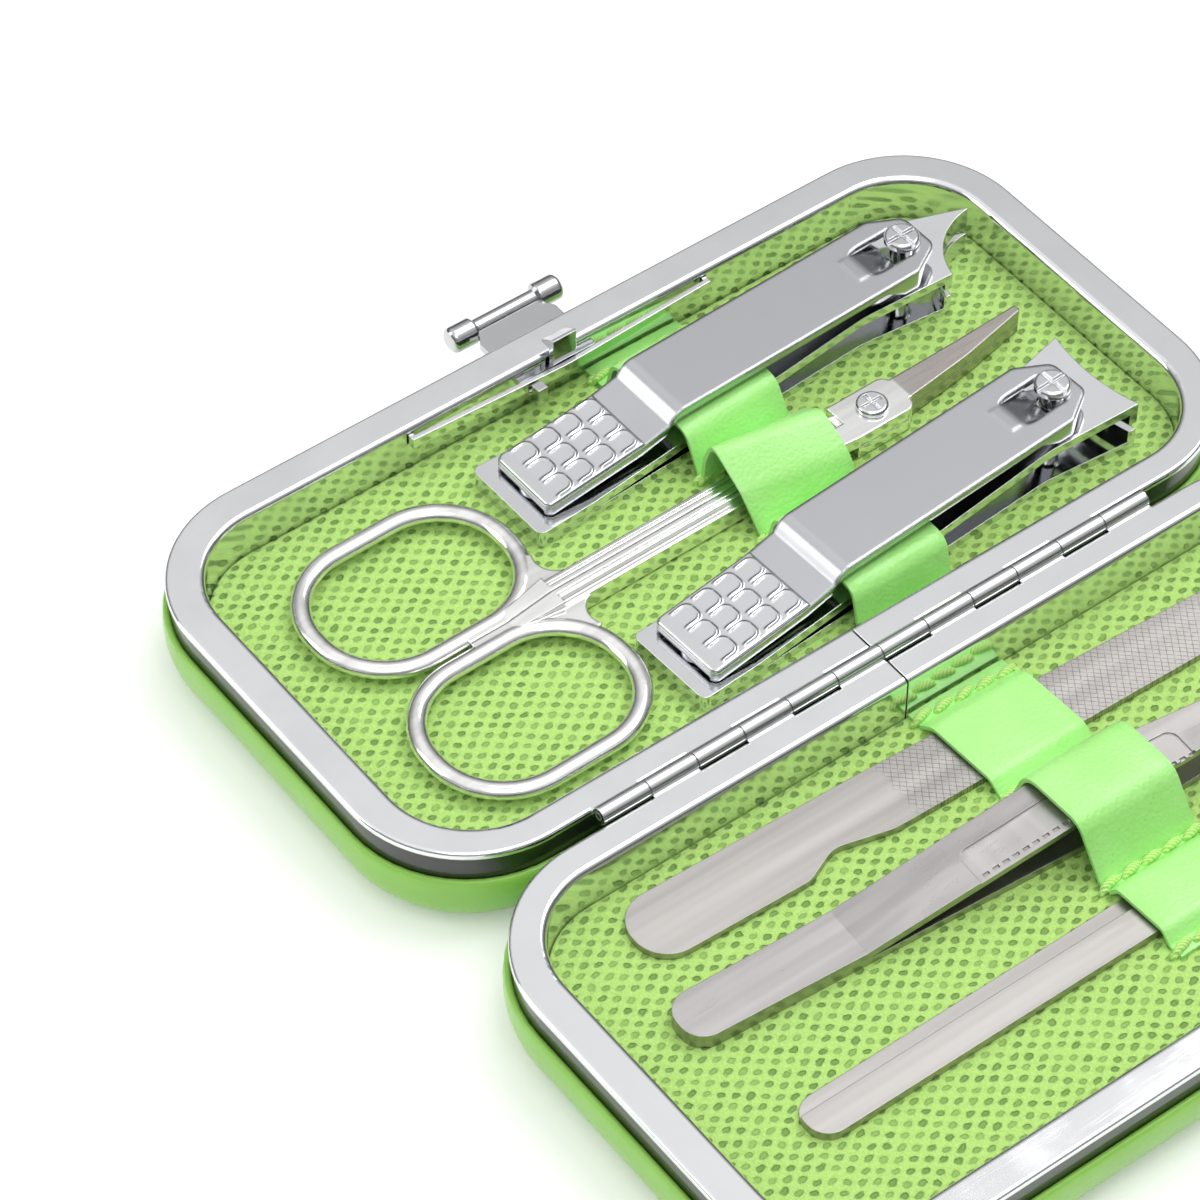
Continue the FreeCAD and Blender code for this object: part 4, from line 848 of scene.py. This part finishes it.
SCALE_ROWS, SCALE_COLUMNS = 4, 3
SCALE_PITCH = 3.0
SCALE_REACH, SCALE_SIDE, SCALE_ROUND = 1.17, 1.26, 0.9
RIM_HEIGHT, RIM_HALF, SCALE_FILL = 0.24, 0.19, 0.15
PAD_START, PAD_REAR_TOP, PAD_SLOPE = 3.5, 3.95, 0.1154
PAD_REAR, PAD_CORNER = 2.26, 0.84
PAD_HALF = {"large": 4.86, "small": 5.06}
SKIN_HEIGHT, SKIN_EDGE, SKIN_FOOT = 0.38, 0.4, 0.45
SKIN_END, SKIN_FALL = 15.35, 0.6
SKIN_STEP = 0.11


def smooth(low, high, value):
    """From 0 at low to 1 at high, eased at both ends."""
    share = min(max((value - low) / (high - low), 0.0), 1.0)
    return share * share * (3 - 2 * share)


def scale_rim(u, v):
    """Height of one scale, a raised rim rounded at its front and running out at its rear.

    From the scale's middle, u is the way to the front and v the way across.
    """
    beyond = abs(v) - (SCALE_SIDE - SCALE_ROUND), u - (SCALE_REACH - SCALE_ROUND)
    outside = math.hypot(max(beyond[0], 0.0), max(beyond[1], 0.0))
    gap = outside + min(max(beyond), 0.0) - SCALE_ROUND
    rim = RIM_HEIGHT * math.exp(-((gap / RIM_HALF) ** 2))
    filled = SCALE_FILL * smooth(0.0, 0.4, -gap) * smooth(-1.3, 1.0, u)
    return (rim + filled) * smooth(-1.4, -0.7, u)


def skin_height(along, across, half):
    """Height of the skin over the plain pad, rolled off at the pad's edges."""
    beyond = abs(across) - (half - PAD_CORNER), PAD_REAR + PAD_CORNER - along
    outside = math.hypot(max(beyond[0], 0.0), max(beyond[1], 0.0))
    inset = PAD_CORNER - outside - min(max(beyond), 0.0)
    edge = min(max(inset / SKIN_EDGE, 0.0), 1.0)
    rise = math.sqrt(1 - (1 - edge) ** 2) * smooth(SKIN_END + SKIN_FALL, SKIN_END, along)
    row = (along - PAD_START) // SCALE_PITCH
    column = round(across / SCALE_PITCH)
    rim = 0.0
    if 0 <= row < SCALE_ROWS and abs(column) <= SCALE_COLUMNS // 2:
        u = along - PAD_START - SCALE_PITCH * row - SCALE_PITCH / 2
        rim = scale_rim(u, across - SCALE_PITCH * column)
    return SKIN_HEIGHT * rise + rim


def thumb_scales(side):
    """A plated skin over the pad of one clipper's lever."""
    x0, y0, angle = LEVER_PLACES[side]
    cos, sin = math.cos(math.radians(angle)), math.sin(math.radians(angle))
    half = PAD_HALF[side]
    work = bmesh.new()
    length = SKIN_END + SKIN_FALL - PAD_REAR
    rows = round(length / SKIN_STEP)
    columns = round(2 * half / SKIN_STEP)

    def on_pad(along, across, height):
        level = PAD_REAR_TOP + PAD_SLOPE * (along - PAD_START) + height
        x = x0 + along * cos - across * sin
        y = y0 + along * sin + across * cos
        return Vector((x, y, FLANGE_Z + LINING_LEVEL + level)) * MM

    top = []
    for i in range(rows + 1):
        along = PAD_REAR + length * i / rows
        short = max(PAD_REAR + PAD_CORNER - along, 0.0)
        reach = half - PAD_CORNER + math.sqrt(PAD_CORNER**2 - short**2)
        line = []
        for k in range(columns + 1):
            across = reach * (2 * k / columns - 1)
            spot = on_pad(along, across, skin_height(along, across, half))
            line.append(work.verts.new(spot))
        top.append(line)
    for first, second in zip(top, top[1:]):
        for k in range(columns):
            work.faces.new((first[k], second[k], second[k + 1], first[k + 1]))
    rim = [line[0] for line in top] + top[-1][1:]
    rim += [line[-1] for line in top[-2::-1]] + top[0][-2:0:-1]
    foot = [work.verts.new(vert.co - Vector((0, 0, SKIN_FOOT * MM))) for vert in rim]
    for k in range(len(rim)):
        after = (k + 1) % len(rim)
        work.faces.new((rim[after], rim[k], foot[k], foot[after]))
    work.faces.new(foot)
    bmesh.ops.recalc_face_normals(work, faces=work.faces)
    mesh = bpy.data.meshes.new(side + "_thumb_scales")
    work.to_mesh(mesh)
    work.free()
    return new_piece(mesh.name, mesh, SCALES, side + "_lever")


# Making the soft pieces and the scales

for half in HALVES:
    cover(half)
    lining(half)

BASE_STRAP_LEFT, BASE_STRAP_LEAN = 3.5, 0.0
LID_STRAP_LEFT, LID_STRAP_LEAN = -13.15, -0.042

# each row of stitches: distance from the hinge at the left edge, and how much it gains to the right

BASE_ROWS = ((54.6, 0.0), (35.1, -0.2), (23.75, -1.3), (6.4, 0.0))
LID_ROWS = ((46.0, 0.0), (35.4, 0.0), (20.2, 0.0), (7.0, -0.8))

strap("base", BASE_LEFT_EDGE, BASE_RIGHT_EDGE, BASE_STRAP_LEFT, BASE_STRAP_LEAN, BASE_ROWS)
strap("lid", LID_EDGE, LID_EDGE, LID_STRAP_LEFT, LID_STRAP_LEAN, LID_ROWS)
for side in LEVER_PLACES:
    thumb_scales(side)

# Floor, light and camera

FLOOR_REACH, FLOOR_DROP = 3.0, 0.0001
FLOOR_SHADE, FLOOR_GLOW = 0.88, 0.22
SENSOR, LENS = 36.0, 147.0
EYE_AZIMUTH, EYE_ELEVATION, EYE_DISTANCE = -37.0, 48.316, 524.4
LOOK_AT = (-19.01, 23.85 + HINGE_Y, FLANGE_Z)

# height of the sky's stops, from the horizon to overhead, and how light it is there

TENT = (
    (0.0, 0.05),
    (0.16, 0.07),
    (0.42, 0.34),
    (0.64, 0.56),
    (0.74, 0.84),
    (0.86, 1.0),
    (1.0, 1.05),
)

scene = bpy.context.scene
scene.view_settings.view_transform = "Standard"


def floor():
    """A pale floor; to the eye and in the metal it glows a little, so it reads as white."""
    mesh = bpy.data.meshes.new("floor")
    reach = FLOOR_REACH
    mesh.from_pydata(
        [(-reach, -reach, 0), (reach, -reach, 0), (reach, reach, 0), (-reach, reach, 0)],
        [],
        [(0, 1, 2, 3)],
    )
    ground = bpy.data.objects.new("floor", mesh)
    scene.collection.objects.link(ground)
    ground.location.z = -FLOOR_DROP
    material = bpy.data.materials.new("pale_floor")
    material.use_nodes = True
    w = Wiring(material.node_tree)
    shader = w.tree.nodes["Principled BSDF"]
    shader.inputs["Base Color"].default_value = (FLOOR_SHADE, FLOOR_SHADE, FLOOR_SHADE, 1)
    shader.inputs["Roughness"].default_value = 0.7
    shader.inputs["Specular IOR Level"].default_value = 0.1
    shader.inputs["Emission Color"].default_value = (1, 1, 1, 1)
    rays = w.add("ShaderNodeLightPath")
    seen = w.sum("MAXIMUM", rays.outputs["Is Camera Ray"], rays.outputs["Is Glossy Ray"])
    w.feed(shader.inputs["Emission Strength"], w.sum("MULTIPLY", seen, FLOOR_GLOW))
    mesh.materials.append(material)


def world():
    """A studio tent: dark at the horizon, grey at the height the flat steel mirrors, light overhead."""
    sky = bpy.data.worlds.new("studio")
    scene.world = sky
    sky.use_nodes = True
    w = Wiring(sky.node_tree)
    where = w.add("ShaderNodeTexCoord").outputs["Generated"]
    axes = w.add("ShaderNodeSeparateXYZ")
    w.feed(axes.inputs[0], where)
    tent = w.add("ShaderNodeValToRGB")
    ramp = tent.color_ramp.elements
    while len(ramp) < len(TENT):
        ramp.new(0.5)
    for stop, (height, level) in zip(ramp, TENT):
        stop.position = height
        stop.color = (level, level, level, 1)
    w.feed(tent.inputs[0], axes.outputs["Z"])
    background = w.tree.nodes["Background"]
    w.feed(background.inputs["Color"], tent.outputs[0])
    background.inputs["Strength"].default_value = 1.0


def softbox(name, place, size, power):
    """A soft lamp that faces the middle of the case."""
    light = bpy.data.lights.new(name, "AREA")
    light.shape = "RECTANGLE"
    light.size, light.size_y = size
    light.energy = power
    lamp = bpy.data.objects.new(name, light)
    lamp.location = place
    aim = -Vector(place)
    lamp.rotation_euler = aim.to_track_quat("-Z", "Y").to_euler()
    scene.collection.objects.link(lamp)


def camera():
    """The eye of the photograph; its distance and aim are in millimetres."""
    data = bpy.data.cameras.new("camera")
    data.sensor_width = SENSOR
    data.lens = LENS
    data.clip_start, data.clip_end = 0.01, 20.0
    eye = bpy.data.objects.new("camera", data)
    azimuth, elevation = math.radians(EYE_AZIMUTH), math.radians(EYE_ELEVATION)
    back = Vector(
        (
            math.sin(azimuth) * math.cos(elevation),
            -math.cos(azimuth) * math.cos(elevation),
            math.sin(elevation),
        )
    )
    eye.location = (Vector(LOOK_AT) + back * EYE_DISTANCE) * MM
    eye.rotation_mode = "QUATERNION"
    eye.rotation_quaternion = (-back).to_track_quat("-Z", "Y")
    scene.collection.objects.link(eye)
    scene.camera = eye


floor()
world()
softbox("key_light", (0.55, 0.03, 1.10), (0.8, 0.8), 6.2)
softbox("rim_light", (-0.75, 0.55, 0.40), (0.4, 0.9), 2.0)
softbox("front_light", (-0.27, -0.36, 0.98), (0.55, 0.55), 1.6)
camera()
